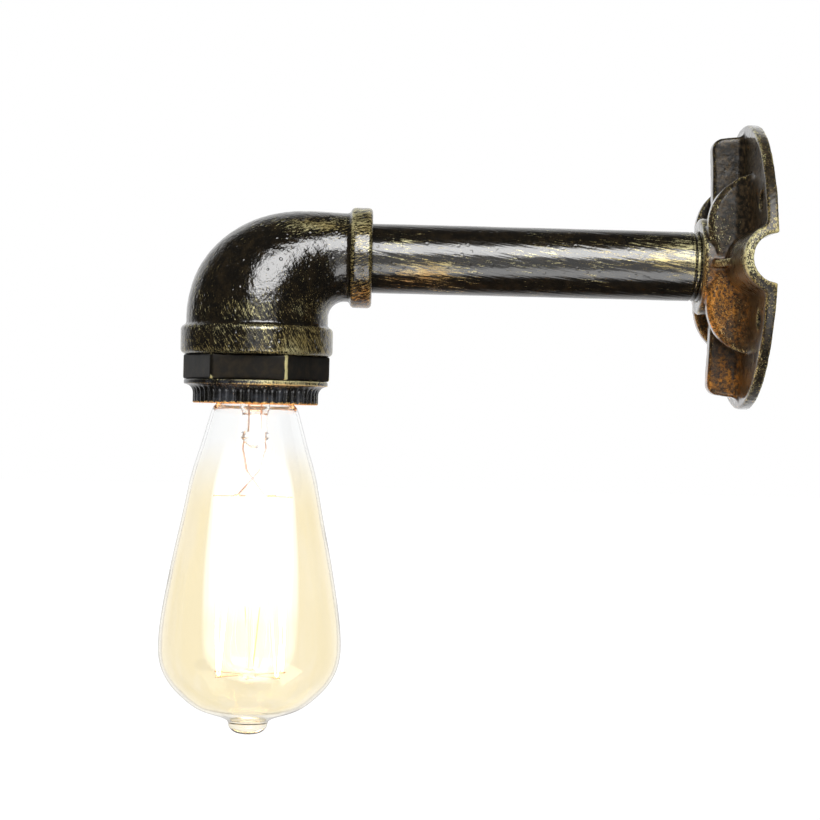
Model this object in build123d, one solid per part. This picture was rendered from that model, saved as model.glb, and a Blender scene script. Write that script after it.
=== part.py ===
from build123d import *
import os
from math import atan, cos, degrees, hypot, radians, sin, sqrt

# Industrial pipe wall light: a cast wall plate, a pipe arm, a reducing elbow that points down, a hexagonal
# lampholder with a fluted ring, and a pear-shaped filament bulb.
# Frame, in millimetres: the origin is the centre of the wall plate's back face, the wall is the plane
# y = 0, the arm reaches out along -Y, +Z is up and X runs along the wall.
# "Reach" is a distance out of the wall along -Y, "drop" a distance below the arm's axis along -Z.

# ---------------------------------------------------------------- driving dimensions
# clearances
thread_fit = 0.08        # radial, between a thread that turns in use and its bore
seat_fit = 0.10          # radial or end gap, between pieces that are screwed or pressed home
loose_fit = 0.30         # gap between pieces that pass each other

# wall plate casting
plate_radius = 50.0
plate_thick = 3.65
plate_edge = 0.8         # rounding of the rim's front edge
hub_radius = 17.0
hub_reach = 18.8
hub_edge = 1.2
lobe_radius = 17.7       # each petal-shaped lobe is a disc standing on the wall plane
lobe_offset = 13.7       # height of a lobe's centre above or below the arm's axis
lobe_thick = 6.0
saddle_reach = 15.9      # top of the web between two lobes
lobe_bevel = 1.6
lobe_flare = 6.0         # concave sweep from the web's outer face into the plate
wing_thick = 7.0         # upright rib at the top and at the bottom
wing_foot = 46.6         # its length at the wall
wing_shoulder = 44.8     # its length at its highest point
wing_reach = 14.9
wing_dip = 13.8          # its height where it meets the hub
wing_round = 4.0
wing_edge = 1.2
tunnel_radius = 8.2      # half-round cable way in the back, out to both sides
tunnel_wall = 3.3
tunnel_flare = 3.0       # concave sweep from the tunnel's roof into the plate
gusset_thick = 2.6       # small rib from the web down to the tunnel's crest
gusset_length = 12.0
root_sink = 2.0          # how far the roots of the ribs and webs reach into the hub
root_round = 2.2         # rounding where the ribs grow out of the plate
screw_hole_radius = 3.25
screw_across = 72.0      # hole spacing along X
screw_up = 40.0          # hole spacing along Z

# pipe arm
pipe_radius = 12.2
pipe_bore = 9.8
pipe_lead = 0.5          # plain stretch from a pipe's end to its first thread
thread_pitch = 1.8
thread_depth = 0.55
thread_flank = 0.3       # length of a thread's flank as a part of its pitch
thread_shown = 2         # turns of thread left in view in front of the hub
hub_grip = 9.5           # length of the pipe inside the hub
elbow_grip = 10.0        # length of the pipe inside the elbow

# elbow casting
arm_visible = 114.7      # from the hub's face to the elbow's collar
neck_collar_radius = 17.6
neck_collar_length = 7.6
collar_round = 1.4
elbow_small_radius = 15.6
elbow_big_radius = 24.8
elbow_wall = 3.5
elbow_corner = 5.3       # inside corner of the bend
elbow_swell = 1.75       # how soon the bend swells from the small to the big end
elbow_sections = 7
lamp_reach = 173.3       # wall to the lamp's axis
mouth_top_drop = 24.9
mouth_height = 10.3
mouth_radius = 26.7
mouth_round = 1.8

# hexagonal lampholder housing
hex_flats = 45.0         # across flats
hex_height = 8.7
hex_turn = 26.5          # degrees from the side of the lamp to the nearest corner
hex_chamfer = 0.5
spigot_radius = 20.0
spigot_up = 14.0         # length of the upper spigot inside the elbow
spigot_down = 6.3        # length of the lower spigot inside the fluted ring
housing_bore = 18.1

# fluted ring
lip_radius = 25.2
lip_height = 1.6
flare_radius = 3.2       # concave sweep below the lip
ring_radius = 22.0
ring_height = 8.2
ring_floor = 1.4
ring_mouth = 17.3
flute_count = 48
flute_radius = 0.85
flute_depth = 0.5

# lampholder insert
shell_radius = 13.45     # least inner radius of the screw shell
shell_wall = 0.4
shell_length = 23.3
shell_edge = 1.0         # plain stretch at each end of the shell
shell_flange = 11.2      # inner radius of the flange at its top
lamp_thread_pitch = 3.63
lamp_thread_depth = 0.95
insert_floor = 5.0
insert_round = 1.0
post_width = 5.0
post_depth = 6.0
post_height = 6.0
post_corner = 0.5
post_screw_height = 3.6
post_hole = 0.8
post_hole_depth = 4.6
post_screw_radius = 1.3
post_head_radius = 1.9
post_head_height = 1.2
slot_width = 0.6
slot_depth = 0.5
strap_width = 6.0
strap_thick = 1.2
strap_screw_radius = 1.5
strap_screw_offset = 14.4
strap_screw_length = 4.0
strap_head_radius = 2.4
strap_head_height = 1.5
strap_end_gap = 0.8
contact_width = 5.0
contact_thick = 0.4
tongue_bend = 3.6        # from the lamp's axis to the bend of the centre contact's tongue
rivet_radius = 1.4
rivet_head = 2.0
rivet_flat = 0.4

# wiring
wire_radius = 1.3
core_radius = 0.65
stripped_length = 4.0
wire_spacing = 6.0
wire_bend = 12.0
earth_offset = 8.0       # earth post beyond the lamp's axis
bush_wall = 1.1
bush_sleeve = 6.0
bush_flange = 0.8
bush_flange_radius = 11.4
block_length = 7.8
block_margin = 3.2       # from an outer pole to the block's end
block_height = 8.5
clamp_radius = 2.0
clamp_hole = 1.5
clamp_screw_radius = 1.1
clamp_screw_gap = 3.4
clamp_screw_sink = 0.6
clamp_head = 0.6
clamp_recess = 0.5
block_round = 0.8

# bulb: its depths are measured down from the top of its centre contact
bulb_top_drop = 27.3     # where that top is below the arm's axis
bulb_radius = 32.1
glass_wall = 1.0
neck_radius = 12.4
neck_in_cap = 4.5        # length of the glass neck inside the cap
widest_depth = 109.2
# the glass's outline as (radius, depth) above its widest place
glass_above = [(neck_radius, 24.1), (16.2, 30.6), (21.8, 50.2), (27.6, 78.4)]
# and as (radius, fall from its widest place) below it and round its sealed tip
glass_below = [(bulb_radius, 0), (29.2, 11.7), (18.7, 22.3), (7.6, 26.1)]
glass_tip = [(6.8, 28.3), (4.2, 30.8), (0.8, 31.7)]
contact_radius = 4.6
contact_bevel = 1.2
contact_height = 0.9
insulator_height = 2.2
insulator_radius = 10.6
insulator_top_radius = 5.6
insulator_bore = 8.0
insulator_plug = 1.2     # how far the insulator reaches into the cap
cap_radius = 13.15
cap_wall = 0.4
cap_length = 21.4
skirt_height = 4.2
cap_thread_turns = 4
stem_radius = 4.5
stem_wall = 1.1
stem_rim = 0.8           # height of the stem's edge where it is sealed to the neck
stem_flare = 8.0         # height over which the stem widens to the neck
stem_flare_arc = 9.0
stem_end_depth = 34.7
press_swell = 0.7        # bead at the stem's pressed end
press_height = 2.0
press_taper = 4.0
rod_radius = 1.4
rod_end_depth = 123.2
button_radius = 2.6      # glass buttons that hold the filament's hooks
button_half = 0.8
button_taper = 1.2
cage_top_depth = 56.7
cage_bottom_depth = 120.7
cage_radius = 13.0
cage_runs = 10           # upright runs of filament
cage_arc = 320.0         # degrees round the cage, the rest is left open towards +X
filament_radius = 0.22
filament_bend = 0.7
lead_radius = 0.35
lead_spacing = 2.2
lead_top_depth = 6.2
lead_knees = [(0.6, 4.2, 39.7), (4.5, 2.2, 48.2)]   # (x, y, depth) of a lead's bends below the stem
lead_bends = [6.0, 5.0, 3.5]
hook_radius = 0.22
hook_overhang = 1.0

# ---------------------------------------------------------------- places worked out from them
collar_reach = hub_reach + arm_visible
bend_corner_reach = lamp_reach - elbow_big_radius - elbow_corner
bend_corner_drop = elbow_small_radius + elbow_corner
pipe_start = hub_reach - hub_grip
pipe_end = collar_reach + elbow_grip
mouth_drop = mouth_top_drop + mouth_height
hex_drop = mouth_drop + hex_height
spigot_top_drop = mouth_drop - spigot_up
spigot_end_drop = hex_drop + spigot_down
ring_drop = hex_drop + seat_fit
ring_end_drop = ring_drop + ring_height
ring_floor_drop = ring_end_drop - ring_floor
insert_radius = housing_bore - seat_fit
insert_drop = ring_floor_drop - loose_fit
insert_top_drop = spigot_top_drop
insert_floor_drop = insert_top_drop + insert_floor
shell_outer = shell_radius + lamp_thread_depth + shell_wall
strap_top_drop = insert_top_drop - strap_thick
block_near = (pipe_start - bush_flange) - block_length - loose_fit
lamp_axis = Pos(0, -lamp_reach, 0)
bulb_seat = lamp_axis * Pos(0, 0, -bulb_top_drop)
insulator_foot_depth = contact_height + insulator_height
cap_skirt_depth = insulator_foot_depth + cap_length
neck_top_depth = cap_skirt_depth - neck_in_cap


# ---------------------------------------------------------------- small helpers
def out_of_wall(shape):
    """Stands a shape that was drawn flat on the wall, with its height along +Z, out along -Y."""
    return Rot(90, 0, 0) * shape


def tube(outer, inner, low, high):
    """Round tube about +Z between two heights."""
    ring = Circle(outer) - Circle(inner)
    return Pos(0, 0, low) * extrude(ring, high - low)


def rod(radius, low, high):
    """Round bar about +Z between two heights."""
    return Pos(0, 0, low) * extrude(Circle(radius), high - low)


def turned(outline):
    """Solid of revolution about +Z from a closed outline in the XZ plane."""
    return revolve(Plane.XZ * make_face(outline), Axis.Z)


def swept(path, radius):
    """Round wire along a path."""
    section = Plane(origin=path @ 0, z_dir=path % 0) * Circle(radius)
    return sweep(section, path=path)


def save(shape, name):
    export_step(shape, "parts/" + name + ".step")


def solids(shapes):
    """Separate solids kept as one group."""
    return Compound(children=[part for shape in shapes for part in shape.solids()])


# ---------------------------------------------------------------- wall plate
def lies_at(edge, height):
    """True for an edge that lies all along in the plane z = height."""
    box = edge.bounding_box()
    return abs(box.min.Z - height) < 0.01 and abs(box.max.Z - height) < 0.01


def plate_disc():
    """Round plate with the half-round tunnel roof across it, flared into the plate and cut to its rim."""
    blank = 3 * plate_radius
    upper = Pos(0, 0, blank / 2) * Box(blank, blank, blank)
    sheet = Pos(0, 0, plate_thick / 2) * Box(blank, blank, plate_thick)
    roof = extrude(Plane.YZ * Circle(tunnel_radius + tunnel_wall), blank / 2, both=True) & upper
    sheet += roof
    roots = [edge for edge in sheet.edges() if lies_at(edge, plate_thick)
             and abs(edge.center().Y) < tunnel_radius + tunnel_wall]
    sheet = fillet(roots, tunnel_flare)
    disc = sheet & (Pos(0, 0, blank / 2) * Cylinder(plate_radius, blank))
    rim = [edge for edge in disc.edges() if edge.center().Z > plate_thick / 2
           and all(abs(hypot(corner.X, corner.Y) - plate_radius) < 0.01 for corner in edge.vertices())
           and edge.geom_type != GeomType.LINE]
    return fillet(rim, plate_edge)


def wing():
    """Rib that stands on the plate from the hub out to the top of the plate."""
    inner = hub_radius - root_sink
    outline = Polyline((inner, 0), (wing_foot, 0), (wing_shoulder, wing_reach), (hub_radius, wing_dip),
                       (inner, wing_dip), close=True)
    face = make_face(outline)
    shoulder = face.vertices().sort_by_distance((wing_shoulder, wing_reach))[0]
    rib = extrude(Plane.YZ * fillet(shoulder, wing_round), wing_thick / 2, both=True)
    sides = [edge for edge in rib.edges() if abs(edge.center().X) > wing_thick / 4
             and edge.center().Z > plate_thick / 2 and edge.center().Y > inner + 0.1]
    return fillet(sides, wing_edge)


def lobe_outline():
    """Side view of a web: two discs that stand on the wall plane, joined by a saddle."""
    discs = Pos(lobe_offset, 0) * Circle(lobe_radius) + Pos(-lobe_offset, 0) * Circle(lobe_radius)
    saddle = Pos(0, saddle_reach / 2) * Rectangle(2 * lobe_offset, saddle_reach)
    in_front = Pos(0, lobe_radius) * Rectangle(4 * lobe_radius, 2 * lobe_radius)
    return (discs + saddle) & in_front


def lobe_web():
    """Lobed web beside the hub, bevelled along its top and flared into the plate at its foot."""
    web = extrude(Plane.YZ * lobe_outline(), lobe_thick)
    outer_face = web.faces().sort_by(Axis.X)[-1]
    web = chamfer([edge for edge in outer_face.edges() if edge.center().Z > 0.1], lobe_bevel)
    web = Pos(hub_radius - lobe_thick, 0, 0) * web
    inside = hub_radius - root_sink
    foot = hub_radius + lobe_flare
    sweep_top = plate_thick + lobe_flare
    flare = make_face([Line((inside, 0), (foot, 0)), Line((foot, 0), (foot, plate_thick)),
                       RadiusArc((foot, plate_thick), (hub_radius, sweep_top), lobe_flare),
                       Line((hub_radius, sweep_top), (inside, sweep_top)),
                       Line((inside, sweep_top), (inside, 0))])
    flare = extrude(Plane.XZ * flare, 2 * lobe_radius, both=True)
    return web + (flare & extrude(Plane.YZ * lobe_outline(), plate_radius))


def gusset():
    """Small sloping rib from the web's saddle down to the crest of the tunnel."""
    crest = tunnel_radius + tunnel_wall
    end = hub_radius + gusset_length
    inside = hub_radius - root_sink
    outline = Polyline((inside, 0), (end, 0), (end, crest), (hub_radius, saddle_reach), (inside, saddle_reach),
                       close=True)
    return extrude(Plane.XZ * make_face(outline), gusset_thick / 2, both=True)


def wall_plate():
    body = plate_disc()
    body += [wing(), mirror(wing(), Plane.XZ)]
    roots = [edge for edge in body.edges() if lies_at(edge, plate_thick)
             and abs(edge.center().Y) > hub_radius and hypot(edge.center().X, edge.center().Y) < wing_foot]
    body = fillet(roots, root_round)
    for part in (lobe_web(), gusset()):
        body += [part, mirror(part, Plane.YZ)]
    hub = Pos(0, 0, hub_reach / 2) * Cylinder(hub_radius, hub_reach)
    body += fillet(hub.edges().sort_by(Axis.Z)[-1], hub_edge)
    body -= extrude(Plane.YZ * Circle(tunnel_radius), plate_radius, both=True)
    body -= Cylinder(pipe_radius + thread_fit, 4 * hub_reach)
    body -= GridLocations(screw_across, screw_up, 2, 2) * Cylinder(screw_hole_radius, 4 * plate_thick)
    return out_of_wall(body)


# ---------------------------------------------------------------- pipe arm
def thread_rings(crest, depth, pitch, first, turns):
    """Outline points of plain ring threads, from one height upwards, crests first and last."""
    points = []
    flank = thread_flank * pitch
    for turn in range(turns):
        root = first + (turn + 0.5) * pitch
        points += [(crest, root - flank), (crest - depth, root), (crest, root + flank)]
    return points


def arm_pipe():
    """Pipe with ring threads at both ends, drawn along +Z with its height as its reach."""
    near_from = pipe_start + pipe_lead
    near_turns = int((hub_grip - pipe_lead) / thread_pitch) + thread_shown
    far_turns = int((elbow_grip - pipe_lead) / thread_pitch)
    far_from = pipe_end - pipe_lead - far_turns * thread_pitch
    points = [(pipe_bore, pipe_start), (pipe_radius - thread_depth, pipe_start)]
    points += thread_rings(pipe_radius, thread_depth, thread_pitch, near_from, near_turns)
    points += thread_rings(pipe_radius, thread_depth, thread_pitch, far_from, far_turns)
    points += [(pipe_radius - thread_depth, pipe_end), (pipe_bore, pipe_end)]
    return out_of_wall(turned(Polyline(*points, close=True)))


def pipe_bushes():
    """Plastic bushes that keep the wires off the pipe's cut ends."""
    shape = tube(pipe_bore - thread_fit, pipe_bore - bush_wall, 0, bush_sleeve)
    shape += tube(bush_flange_radius, pipe_bore - bush_wall, -bush_flange, 0)
    near = Pos(0, 0, pipe_start) * shape
    far = Pos(0, 0, pipe_end) * Rot(180, 0, 0) * shape
    return solids([out_of_wall(near), out_of_wall(far)])


# ---------------------------------------------------------------- elbow
def four_arcs(centre, away, radius):
    """Round section as four arcs from its outermost point, so that neighbouring sections match up."""
    side = Vector(1, 0, 0)
    corners = [away, side, -away, -side, away]
    arcs = []
    for start, end in zip(corners, corners[1:]):
        middle = (start + end).normalized()
        arcs.append(ThreePointArc(centre + start * radius, centre + middle * radius, centre + end * radius))
    return Wire([arc.edge() for arc in arcs])


def bend(thinner):
    """The swelling quarter bend, thinner by a wall where it is the hollow inside."""
    sections = []
    for step in range(elbow_sections):
        angle = radians(90 * step / (elbow_sections - 1))
        outer = elbow_small_radius + (elbow_big_radius - elbow_small_radius) * sin(angle) ** elbow_swell
        away = Vector(0, -sin(angle), cos(angle))
        centre = Vector(0, -bend_corner_reach, -bend_corner_drop) + away * (elbow_corner + outer)
        sections.append(four_arcs(centre, away, outer - thinner))
    return Part() + Solid.make_loft(sections)


def elbow():
    neck_start = collar_reach + neck_collar_length
    collar = Pos(0, 0, collar_reach) * extrude(Circle(neck_collar_radius), neck_collar_length)
    collar = fillet(collar.edges(), collar_round)
    neck = rod(elbow_small_radius, collar_reach + collar_round, bend_corner_reach)
    mouth = rod(mouth_radius, -mouth_drop, -mouth_top_drop)
    mouth = fillet(mouth.edges(), mouth_round)
    throat = rod(elbow_big_radius, -mouth_drop + mouth_round, -bend_corner_drop)
    body = out_of_wall(collar + neck) + bend(0) + lamp_axis * (mouth + throat)
    body -= out_of_wall(rod(pipe_radius + thread_fit, 0, pipe_end + seat_fit))
    body -= out_of_wall(rod(elbow_small_radius - elbow_wall, pipe_end, bend_corner_reach))
    body -= bend(elbow_wall)
    body -= lamp_axis * rod(elbow_big_radius - elbow_wall, -mouth_top_drop, -bend_corner_drop)
    body -= lamp_axis * rod(spigot_radius + seat_fit, -2 * mouth_drop, -bend_corner_drop)
    return body


# ---------------------------------------------------------------- lampholder housing and ring
def lampholder_housing():
    hexagon = Rot(0, 0, hex_turn) * RegularPolygon(hex_flats / sqrt(3), 6)
    nut = Pos(0, 0, -hex_drop) * extrude(hexagon, hex_height)
    nut = chamfer(nut.edges().filter_by(lambda edge: abs(edge.center().Z + mouth_drop) < 0.01
                                        or abs(edge.center().Z + hex_drop) < 0.01), hex_chamfer)
    nut += rod(spigot_radius, -spigot_end_drop, -spigot_top_drop)
    nut -= rod(housing_bore, -2 * spigot_end_drop, 0)
    return lamp_axis * nut


def fluted_ring():
    """Ring that screws up the housing's lower spigot and holds the insert in from below."""
    flare_top = -(ring_drop + lip_height)
    flare_bottom = flare_top - flare_radius
    floor_top = -ring_floor_drop
    bottom = -ring_end_drop
    bore = spigot_radius + thread_fit
    outline = [Line((bore, -ring_drop), (lip_radius, -ring_drop)),
               Line((lip_radius, -ring_drop), (lip_radius, flare_top)),
               RadiusArc((lip_radius, flare_top), (ring_radius, flare_bottom), -flare_radius),
               Line((ring_radius, flare_bottom), (ring_radius, bottom)),
               Line((ring_radius, bottom), (ring_mouth, bottom)),
               Line((ring_mouth, bottom), (ring_mouth, floor_top)),
               Line((ring_mouth, floor_top), (bore, floor_top)),
               Line((bore, floor_top), (bore, -ring_drop))]
    ring = turned(outline)
    flute = rod(flute_radius, 2 * bottom, flare_top - flute_depth)
    groove_circle = ring_radius + flute_radius - flute_depth
    ring -= PolarLocations(groove_circle, flute_count) * flute
    return lamp_axis * ring


# ---------------------------------------------------------------- lampholder insert
def insert_body():
    """Ceramic cup with a cavity for the screw shell and a floor that carries the contacts."""
    cup = rod(insert_radius, -insert_drop, -insert_top_drop)
    cup = fillet(cup.edges().sort_by(Axis.Z)[-1], insert_round)
    cup -= rod(shell_outer + seat_fit, -2 * insert_drop, -insert_floor_drop)
    for side in (1, -1):
        cup -= Pos(side * wire_spacing, 0, 0) * rod(rivet_radius + seat_fit, -2 * insert_drop, 0)
        screw_hole_end = -(insert_top_drop + strap_screw_length + seat_fit)
        cup -= Pos(0, side * strap_screw_offset, 0) * rod(strap_screw_radius + seat_fit, screw_hole_end, 0)
    return lamp_axis * cup


def screw_shell():
    """Brass shell with ring threads for the bulb's cap, open at the top inside a narrow flange."""
    top = -(insert_floor_drop + contact_thick + thread_fit)
    bottom = top - shell_length
    turns = int((shell_length - 2 * shell_edge) / lamp_thread_pitch)
    points = [(shell_outer, bottom), (shell_radius, bottom)]
    points += thread_rings(shell_radius, -lamp_thread_depth, lamp_thread_pitch, bottom + shell_edge, turns)
    points += [(shell_radius, top - shell_wall), (shell_flange, top - shell_wall), (shell_flange, top),
               (shell_outer, top)]
    return lamp_axis * turned(Polyline(*points, close=True))


def contact_strip(start, end):
    """Flat brass strip under the insert's floor, along X, with a hole for its post's stem."""
    middle = (start + end) / 2
    height = -(insert_floor_drop + contact_thick / 2)
    strip = Pos(middle, 0, height) * Box(end - start, contact_width, contact_thick)
    return strip


def stem_hole(side):
    return Pos(side * wire_spacing, 0, 0) * rod(rivet_radius + thread_fit, -2 * insert_drop, 0)


def centre_contact():
    """Live contact: a strip from the live post's stem to a tongue that meets the bulb's tip."""
    root_end = wire_spacing + contact_width / 2
    tongue_low = bulb_top_drop - seat_fit
    step = tongue_low - insert_floor_drop - contact_thick
    outline = Polyline((root_end, -insert_floor_drop), (root_end, -insert_floor_drop - contact_thick),
                       (tongue_bend, -insert_floor_drop - contact_thick),
                       (tongue_bend - step, -tongue_low), (-tongue_bend, -tongue_low),
                       (-tongue_bend, -tongue_low + contact_thick),
                       (tongue_bend - step + contact_thick / 2, -tongue_low + contact_thick),
                       (tongue_bend + contact_thick / 2, -insert_floor_drop), close=True)
    tongue = extrude(Plane.XZ * make_face(outline), contact_width / 2, both=True)
    return lamp_axis * (tongue - stem_hole(1))


def neutral_contact():
    """Neutral contact: a strip from the neutral post's stem out over the screw shell's flange."""
    strip = contact_strip(-(shell_outer - shell_wall), -(wire_spacing - contact_width / 2))
    return lamp_axis * (strip - stem_hole(-1))


def terminal_post(stem_length):
    """Brass post about its own foot: wire hole from above, screw hole from +X and a stem below."""
    post = Pos(0, 0, post_height / 2) * Box(post_width, post_depth, post_height)
    post = chamfer(post.edges().filter_by(Axis.Z), post_corner)
    post -= rod(post_hole, post_height - post_hole_depth, 2 * post_height)
    clamp = rod(post_screw_radius + thread_fit, 0, post_width)
    post -= Pos(0, 0, post_screw_height) * Rot(0, 90, 0) * clamp
    return post + rod(rivet_radius, -stem_length, 0)


def riveted_post():
    """Post whose stem runs through the insert's floor and a contact to its riveted head."""
    stem_end = insert_floor + contact_thick
    return terminal_post(stem_end) + rod(rivet_head, -stem_end - rivet_flat, -stem_end)


def post_place(name):
    """Where each post stands on the lampholder, with its screw side turned to the outside."""
    places = {"live": Pos(wire_spacing, 0, -insert_top_drop),
              "neutral": Pos(-wire_spacing, 0, -insert_top_drop) * Rot(0, 0, 180),
              "earth": Pos(0, -earth_offset, -strap_top_drop) * Rot(0, 0, -90)}
    return lamp_axis * places[name]


def live_post():
    return post_place("live") * riveted_post()


def neutral_post():
    return post_place("neutral") * riveted_post()


def earth_post():
    """Post on the strap, its stem flush with the strap's underside."""
    return post_place("earth") * terminal_post(strap_thick)


def slotted_screw(shank, length, head, head_height):
    """Cheese-head screw along +Z, its head's underside at zero and its shank below."""
    screw = rod(shank, -length, 0) + rod(head, 0, head_height)
    slot = Pos(0, 0, head_height) * Box(3 * head, slot_width, 2 * slot_depth)
    return screw - slot


def post_screws():
    """Clamping screws of the three posts, each with its tip on the wire's core."""
    length = post_width / 2 - core_radius - thread_fit
    screw = slotted_screw(post_screw_radius, length, post_head_radius, post_head_height)
    screw = Pos(post_width / 2, 0, post_screw_height) * Rot(0, 90, 0) * screw
    return solids([post_place(name) * screw for name in ("live", "neutral", "earth")])


def earth_strap():
    """Steel strap across the insert and the housing's rim, under two screws and the earth post."""
    reach = spigot_radius - strap_end_gap
    strap = Pos(0, 0, -insert_top_drop + strap_thick / 2) * Box(strap_width, 2 * reach, strap_thick)
    for side in (1, -1):
        strap -= Pos(0, side * strap_screw_offset, 0) * rod(strap_screw_radius + seat_fit, -2 * hex_drop, 0)
    strap -= Pos(0, -earth_offset, 0) * rod(rivet_radius + thread_fit, -2 * hex_drop, 0)
    return lamp_axis * strap


def strap_screws():
    screw = slotted_screw(strap_screw_radius, strap_thick + strap_screw_length, strap_head_radius,
                          strap_head_height)
    places = [Pos(0, side * strap_screw_offset, -strap_top_drop) for side in (1, -1)]
    return solids([lamp_axis * place * screw for place in places])


# ---------------------------------------------------------------- wiring
def wire(offset, end_reach, end_drop):
    """Insulated wire from the terminal block along the pipe and down to a post, bared at both ends."""
    start = block_near + block_length
    path = FilletPolyline((offset, -start, 0), (offset, -end_reach, 0), (offset, -end_reach, -end_drop),
                          radius=wire_bend)
    shape = swept(path, wire_radius)
    shape += Pos(offset, 0, 0) * out_of_wall(rod(core_radius, start - stripped_length, start + stripped_length))
    shape += Pos(offset, -end_reach, 0) * rod(core_radius, -end_drop - stripped_length, -end_drop)
    print("wire at", offset, "length", round(path.length, 1), "bend radius", wire_bend)
    return shape


def wire_live():
    return wire(wire_spacing, lamp_reach, insert_top_drop - post_height)


def wire_neutral():
    return wire(-wire_spacing, lamp_reach, insert_top_drop - post_height)


def wire_earth():
    return wire(0, lamp_reach + earth_offset, strap_top_drop - post_height)


def pole_places():
    return [Pos(pole * wire_spacing, 0, 0) for pole in (-1, 0, 1)]


def block_screw_places():
    """Two screws over each pole, along the block's own length."""
    middle = block_near + block_length / 2
    return [Pos(pole * wire_spacing, -middle + side * clamp_screw_gap / 2, 0)
            for pole in (-1, 0, 1) for side in (1, -1)]


def terminal_block():
    """Three-pole block that hangs on its wires behind the pipe's end, inside the plate's hub."""
    length = 2 * (wire_spacing + block_margin)
    middle = block_near + block_length / 2
    block = Pos(0, -middle, 0) * Box(length, block_length, block_height)
    block = fillet(block.edges().filter_by(Axis.Y), block_round)
    for place in pole_places():
        block -= place * out_of_wall(rod(clamp_radius + seat_fit, 0, 2 * hub_reach))
    for place in block_screw_places():
        block -= place * rod(clamp_screw_radius + 2 * seat_fit, 0, block_height)
    return block


def block_clamps():
    """Brass clamping tubes of the terminal block."""
    near = block_near + clamp_recess
    far = block_near + block_length - clamp_recess
    clamps = []
    for pole in (-1, 0, 1):
        clamp = out_of_wall(tube(clamp_radius, clamp_hole, near, far))
        clamp = Pos(pole * wire_spacing, 0, 0) * clamp
        for place in block_screw_places():
            clamp -= place * rod(clamp_screw_radius + thread_fit, 0, block_height)
        clamps.append(clamp)
    return solids(clamps)


def block_screws():
    top = block_height / 2 - clamp_screw_sink
    screw = Pos(0, 0, top) * slotted_screw(clamp_screw_radius, top - core_radius - thread_fit,
                                           clamp_screw_radius, clamp_head)
    return solids([place * screw for place in block_screw_places()])


# ---------------------------------------------------------------- bulb
def envelope(inset):
    """Half outline of the glass as (radius, height) points, moved inwards by an inset."""
    slim = 1 - inset / bulb_radius
    points = [(radius - inset, -depth) for radius, depth in glass_above]
    for radius, fall in glass_below:
        points.append((radius * slim, -widest_depth - fall * slim))
    return points


def pear(inset, top, end):
    """Solid pear from the top of the neck to the last edges of its outline, moved inwards by an inset."""
    side = envelope(inset)
    neck = neck_radius - inset
    return turned([Line((0, top), (neck, top)), Line((neck, top), side[0]), Spline(*side)] + end)


def bulb_glass():
    """Pear-shaped envelope with a straight neck and the sealed exhaust tip at the bottom."""
    top = -neck_top_depth
    above_top = top + glass_wall
    shoulder, turn, flat = [(radius, -widest_depth - fall) for radius, fall in glass_tip]
    tip = [Line(envelope(0)[-1], shoulder), ThreePointArc(shoulder, turn, flat), Line(flat, (0, flat[1])),
           Line((0, flat[1]), (0, top))]
    floor = envelope(glass_wall)[-1]
    flat_end = [Line(floor, (0, floor[1])), Line((0, floor[1]), (0, above_top))]
    return bulb_seat * (pear(0, top, tip) - pear(glass_wall, above_top, flat_end))


def bulb_cap():
    """Thin screw cap with ring threads, a plain skirt at the glass and a shoulder at the top."""
    skirt = -cap_skirt_depth
    thread_start = skirt + skirt_height
    thread_end = thread_start + cap_thread_turns * lamp_thread_pitch
    top = -insulator_foot_depth
    thread_bore = cap_radius - lamp_thread_depth - cap_wall
    skirt_bore = cap_radius - cap_wall
    points = [(skirt_bore, skirt), (cap_radius, skirt)]
    points += thread_rings(cap_radius, lamp_thread_depth, lamp_thread_pitch, thread_start, cap_thread_turns)
    points += [(insulator_radius + cap_wall, top), (insulator_bore, top), (insulator_bore, top - cap_wall),
               (insulator_radius, top - cap_wall), (thread_bore, thread_end - cap_wall),
               (thread_bore, -neck_top_depth + 2 * seat_fit), (skirt_bore, -neck_top_depth + seat_fit)]
    return bulb_seat * turned(Polyline(*points, close=True))


def cap_insulator():
    """Black glass cone between the cap and the centre contact."""
    foot = -insulator_foot_depth
    top = -contact_height
    inner = insulator_bore - thread_fit
    return bulb_seat * turned(Polyline((0, top), (insulator_top_radius, top), (insulator_radius, foot),
                                       (inner, foot), (inner, foot - insulator_plug),
                                       (0, foot - insulator_plug), close=True))


def cap_contact():
    """Domed solder contact at the top of the bulb."""
    foot = -contact_height
    return bulb_seat * turned(Polyline((0, 0), (contact_radius - contact_bevel, 0),
                                       (contact_radius, foot / 2), (contact_radius, foot), (0, foot),
                                       close=True))


def lead_path(side):
    """Lead wire from inside the cap, through the stem's press and out to one end of the filament."""
    angle = cage_angle(0)
    end = (cage_radius * cos(angle), side * cage_radius * sin(-angle), -(cage_top_depth - lead_radius))
    knees = [(x, side * y, -depth) for x, y, depth in lead_knees]
    start = (0, side * lead_spacing, -lead_top_depth)
    return FilletPolyline(start, (0, side * lead_spacing, -stem_end_depth), *knees, end, radius=lead_bends)


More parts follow.
